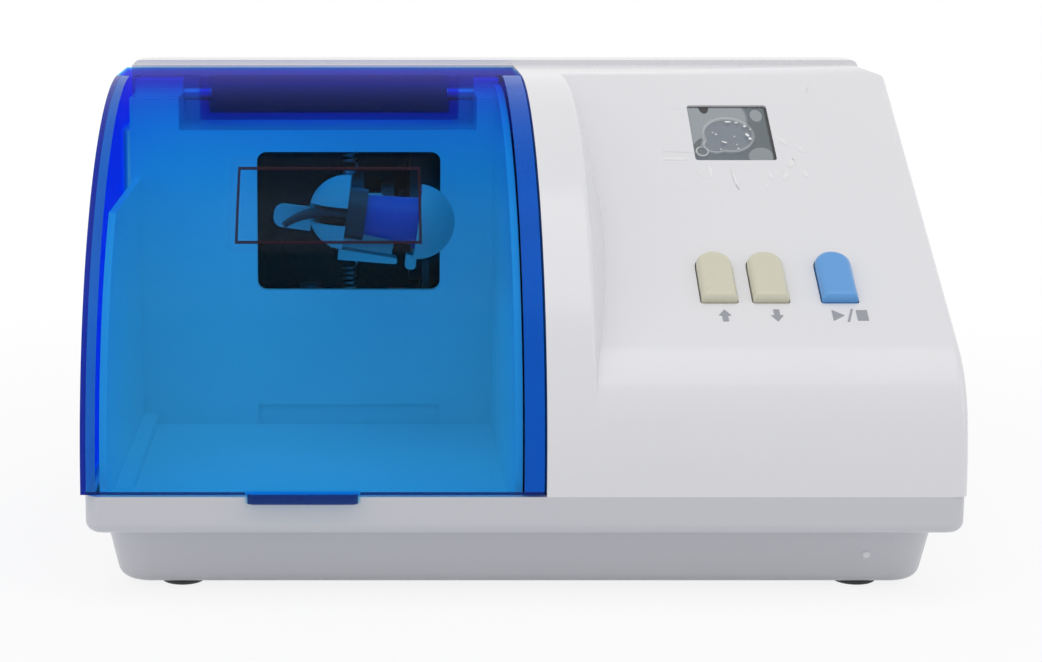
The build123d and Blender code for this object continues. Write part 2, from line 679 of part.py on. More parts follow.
def lid():
    """Clear lid: curved sheet, two side walls, hollow knuckle and finger tab."""
    left = LID_LEFT + LID_WALL
    right = LID_RIGHT - LID_WALL
    cover = prism(skin_outline(True), KNUCKLE_LEFT, KNUCKLE_RIGHT)
    cover += prism(skin_outline(False), left, KNUCKLE_LEFT)
    cover += prism(skin_outline(False), KNUCKLE_RIGHT, right)
    cover += prism(sector_outline(), LID_LEFT, left)
    cover += prism(sector_outline(), right, LID_RIGHT)
    bore = (KNUCKLE_LEFT + KNUCKLE_WEB, KNUCKLE_RIGHT - KNUCKLE_WEB)
    cover -= rod_x(*bore, BARREL_D, BARREL_H, BARREL_R - LID_WALL)
    for x0, x1 in pin_spans():
        bore = (max(x0, KNUCKLE_LEFT - 1), min(x1, KNUCKLE_RIGHT + 1))
        cover -= rod_x(*bore, BARREL_D, BARREL_H, PIN_R + FIT)
    middle = (TAB_LEFT + TAB_RIGHT) / 2
    plan = RectangleRounded(TAB_RIGHT - TAB_LEFT, 2 * TAB_REACH, TAB_REACH * 0.9)
    tab = extrude(Pos(middle, py(0), pz(TAB_LOW)) * plan, amount=TAB_HIGH - TAB_LOW)
    tab -= block(TAB_LEFT - 1, TAB_RIGHT + 1, LID_WALL / 2, TAB_REACH + 1, TAB_LOW - 1, TAB_HIGH + 1)
    tab -= block(TAB_LEFT - 1, TAB_RIGHT + 1, -CLEARANCE, TAB_REACH + 1, TAB_LOW - 1, LID_LIFT)
    return cover + tab


def hinge_pins():
    """Two pins that the knuckle turns on."""
    return group(rod_x(x0, x1, BARREL_D, BARREL_H, PIN_R) for x0, x1 in shortened(pin_spans()))


def shortened(spans):
    """The same spans, drawn in a little at the end inside the knuckle."""
    (a0, a1), (b0, b1) = spans
    return ((a0, a1 - 0.5), (b0 + 0.5, b1))


# ---------------------------------------------------------------- control side
SWITCH_BODY = 6.0
SWITCH_BODY_H = 3.5
STEM_R = 1.8
STEM_GAP = 0.3


def key(x):
    """One key: a crowned cap in the panel, a flange that holds it in, and a stem."""
    cap_plan = key_plan(-CLEARANCE)
    cap = extrude(on_panel(x, KEY_U, -WALL - 1.5) * cap_plan, amount=WALL + 1.5 + KEY_RISE)
    rim = cap.faces().sort_by(lambda f: f.center().dot(PANEL.z_dir))[-1].edges()
    cap = fillet(rim, 1.8)
    flange_top = -WALL - CLEARANCE
    flange_plan = on_panel(x, KEY_U, flange_top - KEY_FLANGE_T) * key_plan(KEY_FLANGE)
    flange = extrude(flange_plan, amount=KEY_FLANGE_T)
    stem_end = -BOARD_DEEP + SWITCH_BODY_H + KEY_TRAVEL + STEM_GAP + 0.8
    stem_l = -stem_end + flange_top
    stem = on_panel(x, KEY_U, stem_end + stem_l / 2) * Cylinder(STEM_R, stem_l)
    return cap + flange + stem


def key_icons():
    """Raised marks under the keys: two arrows, and a triangle, a bar and a square."""
    marks = []
    for x, up in ((KEY_X[0], 1), (KEY_X[1], -1)):
        arrow = make_face(
            Polyline(
                (-1.7, 0), (-0.8, 0), (-0.8, -2.4), (0.8, -2.4), (0.8, 0), (1.7, 0), (0, 2.4), close=True
            )
        )
        turned = arrow if up > 0 else Rot(0, 0, 180) * arrow
        marks.append(on_panel(x + 0.9, ICON_U) * turned)
    play = make_face(Polyline((-1.6, -2.2), (1.6, 0), (-1.6, 2.2), close=True))
    bar = make_face(Polyline((-1.1, -2.6), (-0.5, -2.6), (1.1, 2.6), (0.5, 2.6), close=True))
    marks.append(on_panel(KEY_X[2] - 1.3, ICON_U) * play)
    marks.append(on_panel(KEY_X[2] + 1.9, ICON_U) * bar)
    marks.append(on_panel(KEY_X[2] + 5.2, ICON_U) * Rectangle(3.0, 4.2))
    return group(extrude(mark, amount=ICON_RISE) for mark in marks)




def display_window():
    """Clear window in the panel, set a little below its face, with a flange behind the panel."""
    plug = RectangleRounded(DISPLAY_W - 0.2, DISPLAY_L - 0.2, 0.9)
    plate = extrude(on_panel(DISPLAY_X, DISPLAY_U, -WALL) * plug, amount=WALL - DISPLAY_SINK)
    back = RectangleRounded(DISPLAY_W + 2 * WINDOW_FLANGE, DISPLAY_L + 2 * WINDOW_FLANGE, 1)
    place = on_panel(DISPLAY_X, DISPLAY_U, -WALL - WINDOW_FLANGE_T)
    return plate + extrude(place * back, amount=WINDOW_FLANGE_T)


def display_module():
    """Liquid crystal cell and its frame, standing on the control board."""
    top = -WALL - WINDOW_FLANGE_T - 0.2
    cell = RectangleRounded(DISPLAY_W + 6, DISPLAY_L + 7, 0.5)
    module = extrude(on_panel(DISPLAY_X, DISPLAY_U, top - DISPLAY_MODULE_T) * cell, amount=DISPLAY_MODULE_T)
    foot_l = BOARD_DEEP + top - DISPLAY_MODULE_T
    for sx in (-DISPLAY_W / 2, DISPLAY_W / 2):
        for su in (-DISPLAY_L / 2, DISPLAY_L / 2):
            place = on_panel(DISPLAY_X + sx, DISPLAY_U + su, -BOARD_DEEP + foot_l / 2)
            module += place * Cylinder(1.2, foot_l)
    return module


def control_board():
    """Circuit board under the panel, screwed to its posts."""
    wide = BOARD_RIGHT - BOARD_LEFT
    long = BOARD_HIGH_U - BOARD_LOW_U
    middle_u = (BOARD_LOW_U + BOARD_HIGH_U) / 2
    place = on_panel((BOARD_LEFT + BOARD_RIGHT) / 2, middle_u, -BOARD_DEEP - BOARD_T)
    board = extrude(place * RectangleRounded(wide, long, 2), amount=BOARD_T)
    for x, u in board_corners():
        board -= on_panel(x, u, -BOARD_DEEP) * Cylinder(1.2, 10)
    return board


def board_screws():
    """Screws that hold the control board."""
    screws = []
    for x, u in board_corners():
        head = on_panel(x, u, -BOARD_DEEP - BOARD_T - 0.8) * Cylinder(2.2, 1.6)
        shank = on_panel(x, u, -BOARD_DEEP - BOARD_T + 2.5) * Cylinder(0.85, 5)
        screws.append(head + shank)
    return group(screws)


def key_switches():
    """The push switches under the keys."""
    switches = []
    for x in KEY_X:
        body_w = -BOARD_DEEP + SWITCH_BODY_H / 2
        body = on_panel(x, KEY_U, body_w) * Box(SWITCH_BODY, SWITCH_BODY, SWITCH_BODY_H)
        tip = on_panel(x, KEY_U, -BOARD_DEEP + SWITCH_BODY_H + 0.4) * Cylinder(1.6, 0.8)
        switches.append(body + tip)
    return group(switches)


def board_parts():
    """Controller chip, buzzer and capacitors on the control board."""
    face = -BOARD_DEEP
    u = (KEY_U + KEY_L / 2 + DISPLAY_U - DISPLAY_L / 2) / 2
    chip = on_panel(BOARD_LEFT + 16, u, face + 1) * Box(14, 8, 2)
    buzzer = on_panel(BOARD_RIGHT - 12, u, face + 3.5) * Cylinder(5, 7)
    caps = [on_panel(BOARD_LEFT + 30 + 9 * i, u, face + 3.5) * Cylinder(2.5, 7) for i in range(2)]
    return group([chip, buzzer, *caps])


# ---------------------------------------------------------------- power supply
POWER_BOARD_L = 66.0
POWER_BOARD = (20.0, 52.0, SHAFT_D - 88.0, SHAFT_D - 88.0 + POWER_BOARD_L)  # X and depth limits


def transformer():
    """Mains transformer: laminated core and a winding round its middle limb."""
    base = FLOOR_TOP + TRANSFORMER_LIFT
    x, d = TRANSFORMER_X, TRANSFORMER_D
    half = TRANSFORMER_SPAN / 2
    core = block(x - 18, x + 18, d - 8, d + 8, base + 1.5, base + 31.5)
    core += block(x - half - 4, x + half + 4, d - 6, d + 6, base, base + 1.5)
    for sx in (-1, 1):
        core -= block(x + sx * 9 - 4, x + sx * 9 + 4, d - 9, d + 9, base + 7, base + 26)
        core -= rod_z(x + sx * half, d, base - 1, base + 3, 1.7)
    return core


def transformer_winding():
    """Bobbin wound round the core's middle limb."""
    base = FLOOR_TOP + TRANSFORMER_LIFT
    x, d = TRANSFORMER_X, TRANSFORMER_D
    outer = block(x - 12.6, x + 12.6, d - 15, d + 15, base + 7.4, base + 25.6)
    outer = fillet(outer.edges().filter_by(Axis.Z), 3)
    return outer - block(x - 5.2, x + 5.2, d - 8.2, d + 8.2, base + 6, base + 27)


def transformer_screws():
    """Screws through the transformer's feet."""
    base = FLOOR_TOP + TRANSFORMER_LIFT
    return group(rod_z(x, d, base + 1.5, base + 3.5, 3) for x, d in TRANSFORMER_FEET)


def power_board():
    """Motor control board on the floor of the lower case."""
    x0, x1, d0, d1 = POWER_BOARD
    low = FLOOR_TOP + 4
    board = block(x0, x1, d0, d1, low, low + BOARD_T)
    for x in (x0 + 4, x1 - 4):
        for d in (d0 + 4, d1 - 4):
            board += rod_z(x, d, FLOOR_TOP, low, 2.4)
    return board


def power_parts():
    """Relay, motor capacitor and terminal block on the power board."""
    x0, x1, d0, d1 = POWER_BOARD
    low = FLOOR_TOP + 4 + BOARD_T
    relay = block(x0 + 4, x0 + 20, d0 + 6, d0 + 26, low, low + 14)
    capacitor = block(x0 + 4, x0 + 18, d1 - 34, d1 - 4, low, low + 18)
    terminals = block(x1 - 9, x1 - 1, d0 + 14, d1 - 22, low, low + 9)
    relay = fillet(relay.edges().filter_by(Axis.Z), 1)
    capacitor = fillet(capacitor.edges().filter_by(Axis.Z), 2)
    return group([relay, capacitor, terminals])


def mains_inlet():
    """Appliance inlet with its flange, socket and three blades."""
    x, h = INLET_X, INLET_H
    w, t = INLET_W - 0.4, INLET_T - 0.4
    body = block(x - w / 2, x + w / 2, DEPTH - 28, DEPTH, h - t / 2, h + t / 2)
    flange = block(x - w / 2 - 3, x + w / 2 + 3, DEPTH, DEPTH + 2.0, h - t / 2 - 3, h + t / 2 + 3)
    flange = fillet(flange.edges().filter_by(Axis.Y), 3)
    inlet = body + flange
    half_w = w / 2 - INLET_WALL
    half_t = t / 2 - INLET_WALL
    inlet -= block(x - half_w, x + half_w, DEPTH - SOCKET_DEEP, DEPTH + 3, h - half_t, h + half_t)
    for dx, dh in ((-7, -2), (0, 2), (7, -2)):
        inlet += block(x + dx - 1, x + dx + 1, DEPTH - SOCKET_DEEP - 1, DEPTH - 2, h + dh - 2, h + dh + 2)
    return inlet


def fuse_holder():
    """Panel fuse holder."""
    body = rod_y(FUSE_X, DEPTH - 30, DEPTH, FUSE_H, FUSE_R - 0.15)
    body += rod_y(FUSE_X, DEPTH, DEPTH + 1.2, FUSE_H, FUSE_R + 2)
    return body - rod_y(FUSE_X, DEPTH - 24, DEPTH + 2, FUSE_H, 4.2)


def fuse_cap():
    """Slotted cap that turns to release the fuse."""
    cap = rod_y(FUSE_X, DEPTH + 1.2 + CLEARANCE, DEPTH + 3.0, FUSE_H, FUSE_R)
    cap += rod_y(FUSE_X, DEPTH - 20, DEPTH + 2, FUSE_H, 4.2 - CLEARANCE)
    return cap - block(FUSE_X - 4, FUSE_X + 4, DEPTH + 2.0, DEPTH + 4, FUSE_H - 0.6, FUSE_H + 0.6)


def switch_frame():
    """Frame of the mains rocker switch."""
    x, h = SWITCH_X, SWITCH_H
    w, t = SWITCH_W - 0.4, SWITCH_T - 0.4
    frame = block(x - w / 2, x + w / 2, DEPTH - 18, DEPTH, h - t / 2, h + t / 2)
    frame += block(x - w / 2 - 1.4, x + w / 2 + 1.4, DEPTH, DEPTH + 1.2, h - t / 2 - 1.4, h + t / 2 + 1.4)
    frame -= block(x - w / 2 + 1.5, x + w / 2 - 1.5, DEPTH - 9, DEPTH + 2, h - t / 2 + 1.5, h + t / 2 - 1.5)
    return frame


ROCKER_TILT = 8.0


def switch_rocker():
    """Rocker of the mains switch, at rest with its lower end pressed in."""
    x, h = SWITCH_X, SWITCH_H
    half_w = SWITCH_W / 2 - 2.1
    half_t = SWITCH_T / 2 - 2.4
    blank = block(x - half_w, x + half_w, DEPTH - 5, DEPTH + 1.4, h - half_t, h + half_t)
    dish = rod_x(x - 20, x + 20, DEPTH + 25.6, h, 25)
    rocker = blank - dish
    rocker = Pos(x, py(DEPTH), pz(h)) * Rot(-ROCKER_TILT, 0, 0) * (Pos(-x, -py(DEPTH), -pz(h)) * rocker)
    return rocker


# ---------------------------------------------------------------- motor and cradle
MOTOR_RIGHT = MOTOR_LEFT + MOTOR_L
SADDLE_X = (MOTOR_LEFT + 4.0, MOTOR_RIGHT - 8.0)
SADDLE_T = 2.0
STRAP_X = 2.0
STRAP_W = 10.0
STRAP_T = 1.2
BEARING_R = 6.0
CORE_R = 14.0  # armature
COMMUTATOR_R = 6.0


def motor_can():
    """Motor body, closed at the left with a bearing boss."""
    can = tube_x(MOTOR_LEFT, MOTOR_RIGHT, SHAFT_D, SHAFT_H, MOTOR_R, MOTOR_R - MOTOR_WALL)
    can += rod_x(MOTOR_LEFT, MOTOR_LEFT + MOTOR_WALL, SHAFT_D, SHAFT_H, MOTOR_R)
    can += rod_x(MOTOR_LEFT - 3, MOTOR_LEFT + 5, SHAFT_D, SHAFT_H, 8)
    return can - rod_x(MOTOR_LEFT - 4, MOTOR_LEFT + 6, SHAFT_D, SHAFT_H, BEARING_R)


def motor_end_cap():
    """Moulded end cap with the rear bearing seat and two brush holders."""
    cap = rod_x(MOTOR_RIGHT, MOTOR_RIGHT + 3, SHAFT_D, SHAFT_H, MOTOR_R)
    cap += rod_x(MOTOR_RIGHT - 4, MOTOR_RIGHT, SHAFT_D, SHAFT_H, MOTOR_R - MOTOR_WALL - 0.1)
    cap -= rod_x(MOTOR_RIGHT - 5, MOTOR_RIGHT, SHAFT_D, SHAFT_H, MOTOR_R - MOTOR_WALL - 2)
    cap += rod_x(MOTOR_RIGHT - 1, MOTOR_RIGHT + 5, SHAFT_D, SHAFT_H, 8)
    return cap - rod_x(MOTOR_RIGHT - 2, MOTOR_RIGHT + 6, SHAFT_D, SHAFT_H, BEARING_R)


def motor_magnets():
    """Two arc magnets inside the can."""
    r_out = MOTOR_R - MOTOR_WALL - 0.05
    ring = tube_x(MOTOR_LEFT + 12, MOTOR_RIGHT - 18, SHAFT_D, SHAFT_H, r_out, CORE_R + GAP_IN_MOTOR)
    ring -= block(MOTOR_LEFT, MOTOR_RIGHT, SHAFT_D - 30, SHAFT_D + 30, SHAFT_H - 3, SHAFT_H + 3)
    return group(ring.solids())


def motor_bearings():
    """Ball bearings at both ends of the motor, drawn as rings."""
    left = tube_x(MOTOR_LEFT - 2.6, MOTOR_LEFT + 2.4, SHAFT_D, SHAFT_H, BEARING_R - 0.03, SHAFT_R + FIT)
    right = tube_x(MOTOR_RIGHT - 0.6, MOTOR_RIGHT + 4.4, SHAFT_D, SHAFT_H, BEARING_R - 0.03, SHAFT_R + FIT)
    return group([left, right])


def motor_brushes():
    """Two carbon brushes in their holders, bearing on the commutator."""
    x = MOTOR_RIGHT - 9
    brushes = []
    for side in (-1, 1):
        near = SHAFT_H + side * (COMMUTATOR_R + 0.2)
        far = SHAFT_H + side * (MOTOR_R - MOTOR_WALL - 0.4)
        brushes.append(block(x - 3, x + 3, SHAFT_D - 2.5, SHAFT_D + 2.5, min(near, far), max(near, far)))
    return group(brushes)


SHAFT_LEFT = HUB_X - 13.0
SHAFT_RIGHT = MOTOR_RIGHT + 16.0


def motor_shaft():
    """Motor shaft, which carries the wobble journal at its left end."""
    return rod_x(SHAFT_LEFT, SHAFT_RIGHT, SHAFT_D, SHAFT_H, SHAFT_R)


def armature_core():
    """Slotted armature stack."""
    core = rod_x(MOTOR_LEFT + 14, MOTOR_RIGHT - 20, SHAFT_D, SHAFT_H, CORE_R)
    for i in range(8):
        slot = Pos(0, CORE_R, 0) * Box(60, 6, 2.4)
        core -= Pos(0, py(SHAFT_D), pz(SHAFT_H)) * Rot(45 * i, 0, 0) * slot
    return core - rod_x(MOTOR_LEFT, MOTOR_RIGHT, SHAFT_D, SHAFT_H, SHAFT_R)


def armature_windings():
    """End turns of the armature."""
    left = tube_x(MOTOR_LEFT + 8, MOTOR_LEFT + 14, SHAFT_D, SHAFT_H, CORE_R - 2, SHAFT_R)
    right = tube_x(MOTOR_RIGHT - 20, MOTOR_RIGHT - 15, SHAFT_D, SHAFT_H, CORE_R - 2, SHAFT_R)
    return group([left, right])


def commutator():
    """Commutator that the brushes bear on."""
    return tube_x(MOTOR_RIGHT - 15, MOTOR_RIGHT - 4.6, SHAFT_D, SHAFT_H, COMMUTATOR_R, SHAFT_R)


FAN_R = 17.0
FAN_BLADES = 9


def motor_fan():
    """Cooling fan on the shaft's right end."""
    x0 = MOTOR_RIGHT + 6.5
    fan = rod_x(x0, x0 + 8, SHAFT_D, SHAFT_H, 6) + rod_x(x0, x0 + 1.2, SHAFT_D, SHAFT_H, FAN_R)
    for i in range(FAN_BLADES):
        blade = Pos(x0 + 4, (FAN_R + 4) / 2, 0) * Box(8, FAN_R - 6, 1.2)
        fan += Pos(0, py(SHAFT_D), pz(SHAFT_H)) * Rot(360 / FAN_BLADES * i, 0, 0) * blade
    return fan - rod_x(x0 - 1, x0 + 9, SHAFT_D, SHAFT_H, SHAFT_R)


def motor_cradle():
    """Floating steel plate under the motor, with two saddles."""
    low = CRADLE_TOP - CRADLE_T
    x0, x1 = DAMPER_X[0] - 8, DAMPER_X[1] + 8
    plate = block(x0, x1, DAMPER_D[0] - 7, DAMPER_D[1] + 7, low, CRADLE_TOP)
    plate = fillet(plate.edges().filter_by(Axis.Z), 5)
    for x in SADDLE_X:
        plate += block(x, x + SADDLE_T, SHAFT_D - 17, SHAFT_D + 17, low, SHAFT_H - 6)
    plate -= rod_x(x0, x1, SHAFT_D, SHAFT_H, MOTOR_R + 0.02)
    for x in DAMPER_X:
        for d in DAMPER_D:
            plate -= rod_z(x, d, low - 1, CRADLE_TOP + 1, 2.2)
    for x in KNOB_X:
        plate -= rod_z(x, KNOB_D, low - 1, CRADLE_TOP + 1, KNOB_SHAFT_R + 1)
    plate -= block(
        STRAP_X - STRAP_W / 2, STRAP_X + STRAP_W / 2, SHAFT_D - 30, SHAFT_D + 30, SHAFT_H - 5, SHAFT_H
    )
    return plate


def motor_strap():
    """Steel band that holds the motor down on its cradle."""
    x0, x1 = STRAP_X - STRAP_W / 2, STRAP_X + STRAP_W / 2
    r = MOTOR_R + 0.05
    band = tube_x(x0, x1, SHAFT_D, SHAFT_H, r + STRAP_T, r)
    band -= block(x0 - 1, x1 + 1, SHAFT_D - 30, SHAFT_D + 30, 0, SHAFT_H)
    for side in (-1, 1):
        near = SHAFT_D + side * r
        far = SHAFT_D + side * (r + STRAP_T)
        band += block(x0, x1, min(near, far), max(near, far), CRADLE_TOP, SHAFT_H)
    return band


def rubber_dampers():
    """Four rubber blocks that the cradle floats on."""
    low = CRADLE_TOP - CRADLE_T
    dampers = []
    for x in DAMPER_X:
        for d in DAMPER_D:
            damper = rod_z(x, d, POST_H, low, DAMPER_R)
            waist = Pos(x, py(d), pz((POST_H + low) / 2)) * Torus(DAMPER_R + 2, 3.2)
            dampers.append(damper - waist - rod_z(x, d, POST_H - 1, low + 1, 2.0))
    return group(dampers)


def damper_screws():
    """Screws through the cradle and dampers into the posts."""
    screws = []
    for x in DAMPER_X:
        for d in DAMPER_D:
            head = rod_z(x, d, CRADLE_TOP, CRADLE_TOP + 2.4, 3.6)
            screws.append(head + rod_z(x, d, POST_H - 9, CRADLE_TOP, 1.2))
    return group(screws)


def transport_knob(x):
    """Quarter-turn knob under the base, whose crossbar locks the floating cradle for carriage."""
    low = -TRAY_H + KNOB_LIFT
    knob = rod_z(x, KNOB_D, low, low + KNOB_WELL_H - KNOB_LIFT - CLEARANCE, KNOB_R)
    for d in (KNOB_D - KNOB_GRIP / 2 - KNOB_R, KNOB_D + KNOB_GRIP / 2):
        knob -= block(x - KNOB_R, x + KNOB_R, d, d + KNOB_R, low - 1, low + 3.4)
    knob += rod_z(x, KNOB_D, low + 3, CRADLE_TOP + 2.5, KNOB_SHAFT_R)
    return knob + block(x - 2.5, x + 2.5, KNOB_D - 5.5, KNOB_D + 5.5, CRADLE_TOP + 0.5, CRADLE_TOP + 2.5)


# ---------------------------------------------------------------- wobble drive
JOURNAL_R = 5.0
BALL_RING_R = RACE_R - BALL_R - 0.4  # radius at which the balls' centres run
INNER_RACE_R = BALL_RING_R - 0.95


def tilted(shape):
    """A shape drawn round the X axis at the hub's centre, leaned over by the journal's tilt."""
    return Pos(HUB_X, py(SHAFT_D), pz(SHAFT_H)) * Rot(0, 0, JOURNAL_TILT) * shape


def axis_x(half, r):
    """A bar along X about the local origin."""
    return Rot(0, 90, 0) * Cylinder(r, 2 * half)


def wobble_journal():
    """Sleeve bored true but turned at a slant, so that its outside wobbles as the shaft turns."""
    sleeve = tilted(axis_x(5.4, JOURNAL_R))
    return sleeve - rod_x(HUB_X - 20, HUB_X + 20, SHAFT_D, SHAFT_H, SHAFT_R)


def wobble_inner_race():
    """Inner race of the wobble bearing, pressed on the journal."""
    race = axis_x(3.2, INNER_RACE_R) - axis_x(9, JOURNAL_R)
    race -= Rot(0, 90, 0) * Torus(BALL_RING_R, BALL_R + 0.05)
    return tilted(race)


def wobble_balls():
    """Balls of the wobble bearing."""
    balls = []
    for i in range(BALLS):
        ball = Rot(360 / BALLS * i, 0, 0) * (Pos(0, BALL_RING_R, 0) * Sphere(BALL_R))
        balls.append(tilted(ball))
    return group(balls)


def balance_weight():
    """Counterweight on the shaft beside the motor."""
    x0 = MOTOR_LEFT - 9.0
    disc = rod_x(x0, x0 + 4, SHAFT_D, SHAFT_H, 11)
    disc -= block(x0 - 1, x0 + 5, SHAFT_D + 3.5, SHAFT_D + 20, SHAFT_H - 20, SHAFT_H + 20)
    return disc - rod_x(x0 - 1, x0 + 5, SHAFT_D, SHAFT_H, SHAFT_R)


def hub_ring():
    """Outer ring of the wobble bearing, with spring seats above and below."""
    half = RING_W / 2
    section = Pos(0, (RING_R + RACE_R / 2) / 2) * Rectangle(RING_W, RING_R - RACE_R / 2)
    ring = Pos(HUB_X, py(SHAFT_D), pz(SHAFT_H)) * revolve(section - Circle(RACE_R), axis=Axis.X)
    for side in (-1, 1):
        near = SHAFT_H + side * (RING_R - 1.2)
        far = SHAFT_H + side * (RING_R + 0.6)
        ring += rod_z(HUB_X, SHAFT_D, min(near, far), max(near, far), 3.2)
    return ring


def biarc(start, start_dir, end, end_dir):
    """Two tangent arcs from one point and direction to another."""
    chord = end - start
    both = start_dir + end_dir
    a = 2 * (start_dir.dot(end_dir) - 1)
    b = -2 * chord.dot(both)
    c = chord.dot(chord)
    reach = (-b - math.sqrt(b * b - 4 * a * c)) / (2 * a) if abs(a) > 1e-9 else -c / b
    first = start + start_dir * reach
    last = end - end_dir * reach
    middle = (first + last) / 2
    middle_dir = (last - first).normalized()
    return [TangentArc(start, middle, tangent=start_dir), TangentArc(middle, end, tangent=middle_dir)]


def coil_route(low, high, x, y):
    """Places and headings along an open coil spring that stands on end."""
    wire = 2 * SPRING_WIRE_R
    up = Vector(0, 0, 1)
    start = Vector(x + SPRING_R, y, low)
    stations = [(start, up), (start + up * wire, up)]
    first = low + wire + SPRING_LEAD
    rise = (high - low - 2 * (wire + SPRING_LEAD)) / (SPRING_TURNS - 0.5)
    for i in range(2 * SPRING_TURNS):
        turn = math.pi * (i + 0.5)
        level = first + rise * i / 2
        place = Vector(x + SPRING_R * math.cos(turn), y + SPRING_R * math.sin(turn), level)
        climb = rise / (2 * math.pi)
        heading = Vector(-SPRING_R * math.sin(turn), SPRING_R * math.cos(turn), climb).normalized()
        stations.append((place, heading))
    end = Vector(x + SPRING_R, y, high)
    return stations + [(end - up * wire, up), (end, up)]


def least_gap(path, wire):
    """Least clear distance between the turns of a coil, measured on points along it."""
    count = 24 * SPRING_TURNS
    points = [path @ (i / count) for i in range(count + 1)]
    apart = 12
    pairs = [(p, q) for i, p in enumerate(points) for q in points[i + apart:]]
    return min((p - q).length for p, q in pairs) - wire


def restraint_spring(low, high, name):
    """A spring that steadies the mixing arm above or below its hub."""
    stations = coil_route(pz(low), pz(high), HUB_X, py(SHAFT_D))
    runs = [Line(stations[0][0], stations[1][0])]
    for (start, start_dir), (end, end_dir) in zip(stations[1:-2], stations[2:-1]):
        runs += biarc(start, start_dir, end, end_dir)
    runs.append(Line(stations[-2][0], stations[-1][0]))
    path = Wire([run.edge() for run in runs])
    section = Plane(origin=stations[0][0], z_dir=stations[0][1]) * Circle(SPRING_WIRE_R)
    print(f"{name}: least gap between turns {least_gap(path, 2 * SPRING_WIRE_R):.2f} mm")
    return sweep(section, path=path)


# ---------------------------------------------------------------- mixing arm and capsule clip
ARM_TALL = 9.0
ARM_WIDE = 7.0
HALF_SPAN = (CUP_RIGHT_X - CUP_LEFT_X) / 2
RAIL_W = 5.0
RAIL_T = 2.4
RAIL_BEHIND = CUP_R + 3.1  # the rail's middle, behind the capsule's axis
JAW_W = 3.2  # length of the sliding cup's lug along the rail
PLATE_L = 15.6  # plate behind the capsule, from the left cup's rim
PLATE_H = 14.0
REST_L = 17.8  # free bar under the capsule
REST_W = 7.0
TONGUE_DROP = 3.5  # the thumb tongue lies this far under the capsule's axis
NECK_R = CAPSULE_R - 0.6
PLUNGER_R = CAPSULE_R - 1.6
NOZZLE_ROOT_R = 2.1
NOZZLE_TIP_R = 1.0
NOZZLE_OUT = 4.4  # the spout runs this far before the capsule's axis
NOZZLE_STRAIGHT = 4.0


def clip_place(shape):
    """A shape drawn about the clip's centre, put in place and rolled to the capsule's lean."""
    middle = (CUP_LEFT_X + CUP_RIGHT_X) / 2
    return Pos(middle, py(CLIP_D), pz(CLIP_H)) * Rot(0, CLIP_ROLL, 0) * shape


def seat_depth(r):
    """How far past a cup's rim a bar of radius r goes before it seats in the cup."""
    return math.sqrt((CUP_R - CUP_WALL - CLEARANCE) ** 2 - r**2)


def half_ball(radius, rim_x, side):
    """Half a ball whose flat face is at rim_x, bulging to one side."""
    ball = Pos(rim_x, 0, 0) * Sphere(radius)
    return ball & (Pos(rim_x + side * (radius + 1) / 2, 0, 0) * Box(radius + 1, 3 * radius, 3 * radius))


def cup(rim_x, side):
    """Round cup of the clip."""
    return half_ball(CUP_R, rim_x, side) - half_ball(CUP_R - CUP_WALL, rim_x - side * 0.01, side)


def mixing_arm():
    """Arm from the hub, through the window, to the clip, with the rail that the right cup slides on."""
    near = SHAFT_D - RING_R + 1.0
    far = CLIP_D + CUP_R + 3.5
    low = SHAFT_H - ARM_TALL / 2
    arm = block(HUB_X - ARM_WIDE / 2, HUB_X + ARM_WIDE / 2, far, near, low, low + ARM_TALL)
    arm += block(HUB_X - 6, HUB_X + 10, far - 3, far + 3, low, CLIP_H + 5)
    arm -= rod_x(HUB_X - 10, HUB_X + 10, SHAFT_D, SHAFT_H, RING_R + 0.02)
    rail_right = HALF_SPAN + JAW_W + JAW_TRAVEL + 1.4
    rail_left = -HALF_SPAN / 2
    rail = Pos((rail_left + rail_right) / 2, RAIL_BEHIND, 0) * Box(rail_right - rail_left, RAIL_T, RAIL_W)
    rail += Pos(PLATE_L / 2 - HALF_SPAN, RAIL_BEHIND, -PLATE_H / 2) * Box(PLATE_L, RAIL_T, PLATE_H)
    return arm + clip_place(rail)


def fixed_cup():
    """Left cup of the clip with its thumb tongue, neck to the arm and the rest under the capsule."""
    body = cup(-HALF_SPAN, -1)
    tongue = Pos(-HALF_SPAN - CUP_R - 4.6, 1, -TONGUE_DROP) * Box(11.5, 2.4, 7.0)
    body += fillet(tongue.edges().filter_by(Axis.Y).sort_by(Axis.X)[:2], 3.0)
    body += Pos(-HALF_SPAN - 2.0, CUP_R + 1.0, 0) * Box(8.0, 4.4, 10.0)
    left = -HALF_SPAN - 0.9
    top = -CUP_R + 0.4
    outline = Polyline(
        (left, top), (left + REST_L, top - 0.6), (left + REST_L, top - 2.3), (left, top - 3.2), close=True
    )
    rest = extrude(Plane.XZ.offset(-REST_W / 2) * make_face(outline), amount=REST_W)
    body += fillet(rest.edges().filter_by(Axis.Y).sort_by(Axis.X)[-2:], 0.8)
    body -= Pos(-HALF_SPAN, 0, 0) * Sphere(CUP_R - CUP_WALL)
    slot_w = 2 * NOZZLE_ROOT_R + 2 * CLEARANCE + 0.8
    body -= Pos(-HALF_SPAN - 6, -6, -0.6) * Rot(0, -4, 0) * Box(16, 12, slot_w)
    placed = clip_place(body)
    far = CLIP_D + CUP_R + 0.5
    return placed - block(HUB_X - 20, HUB_X + 20, far, far + 10, 0, 100)


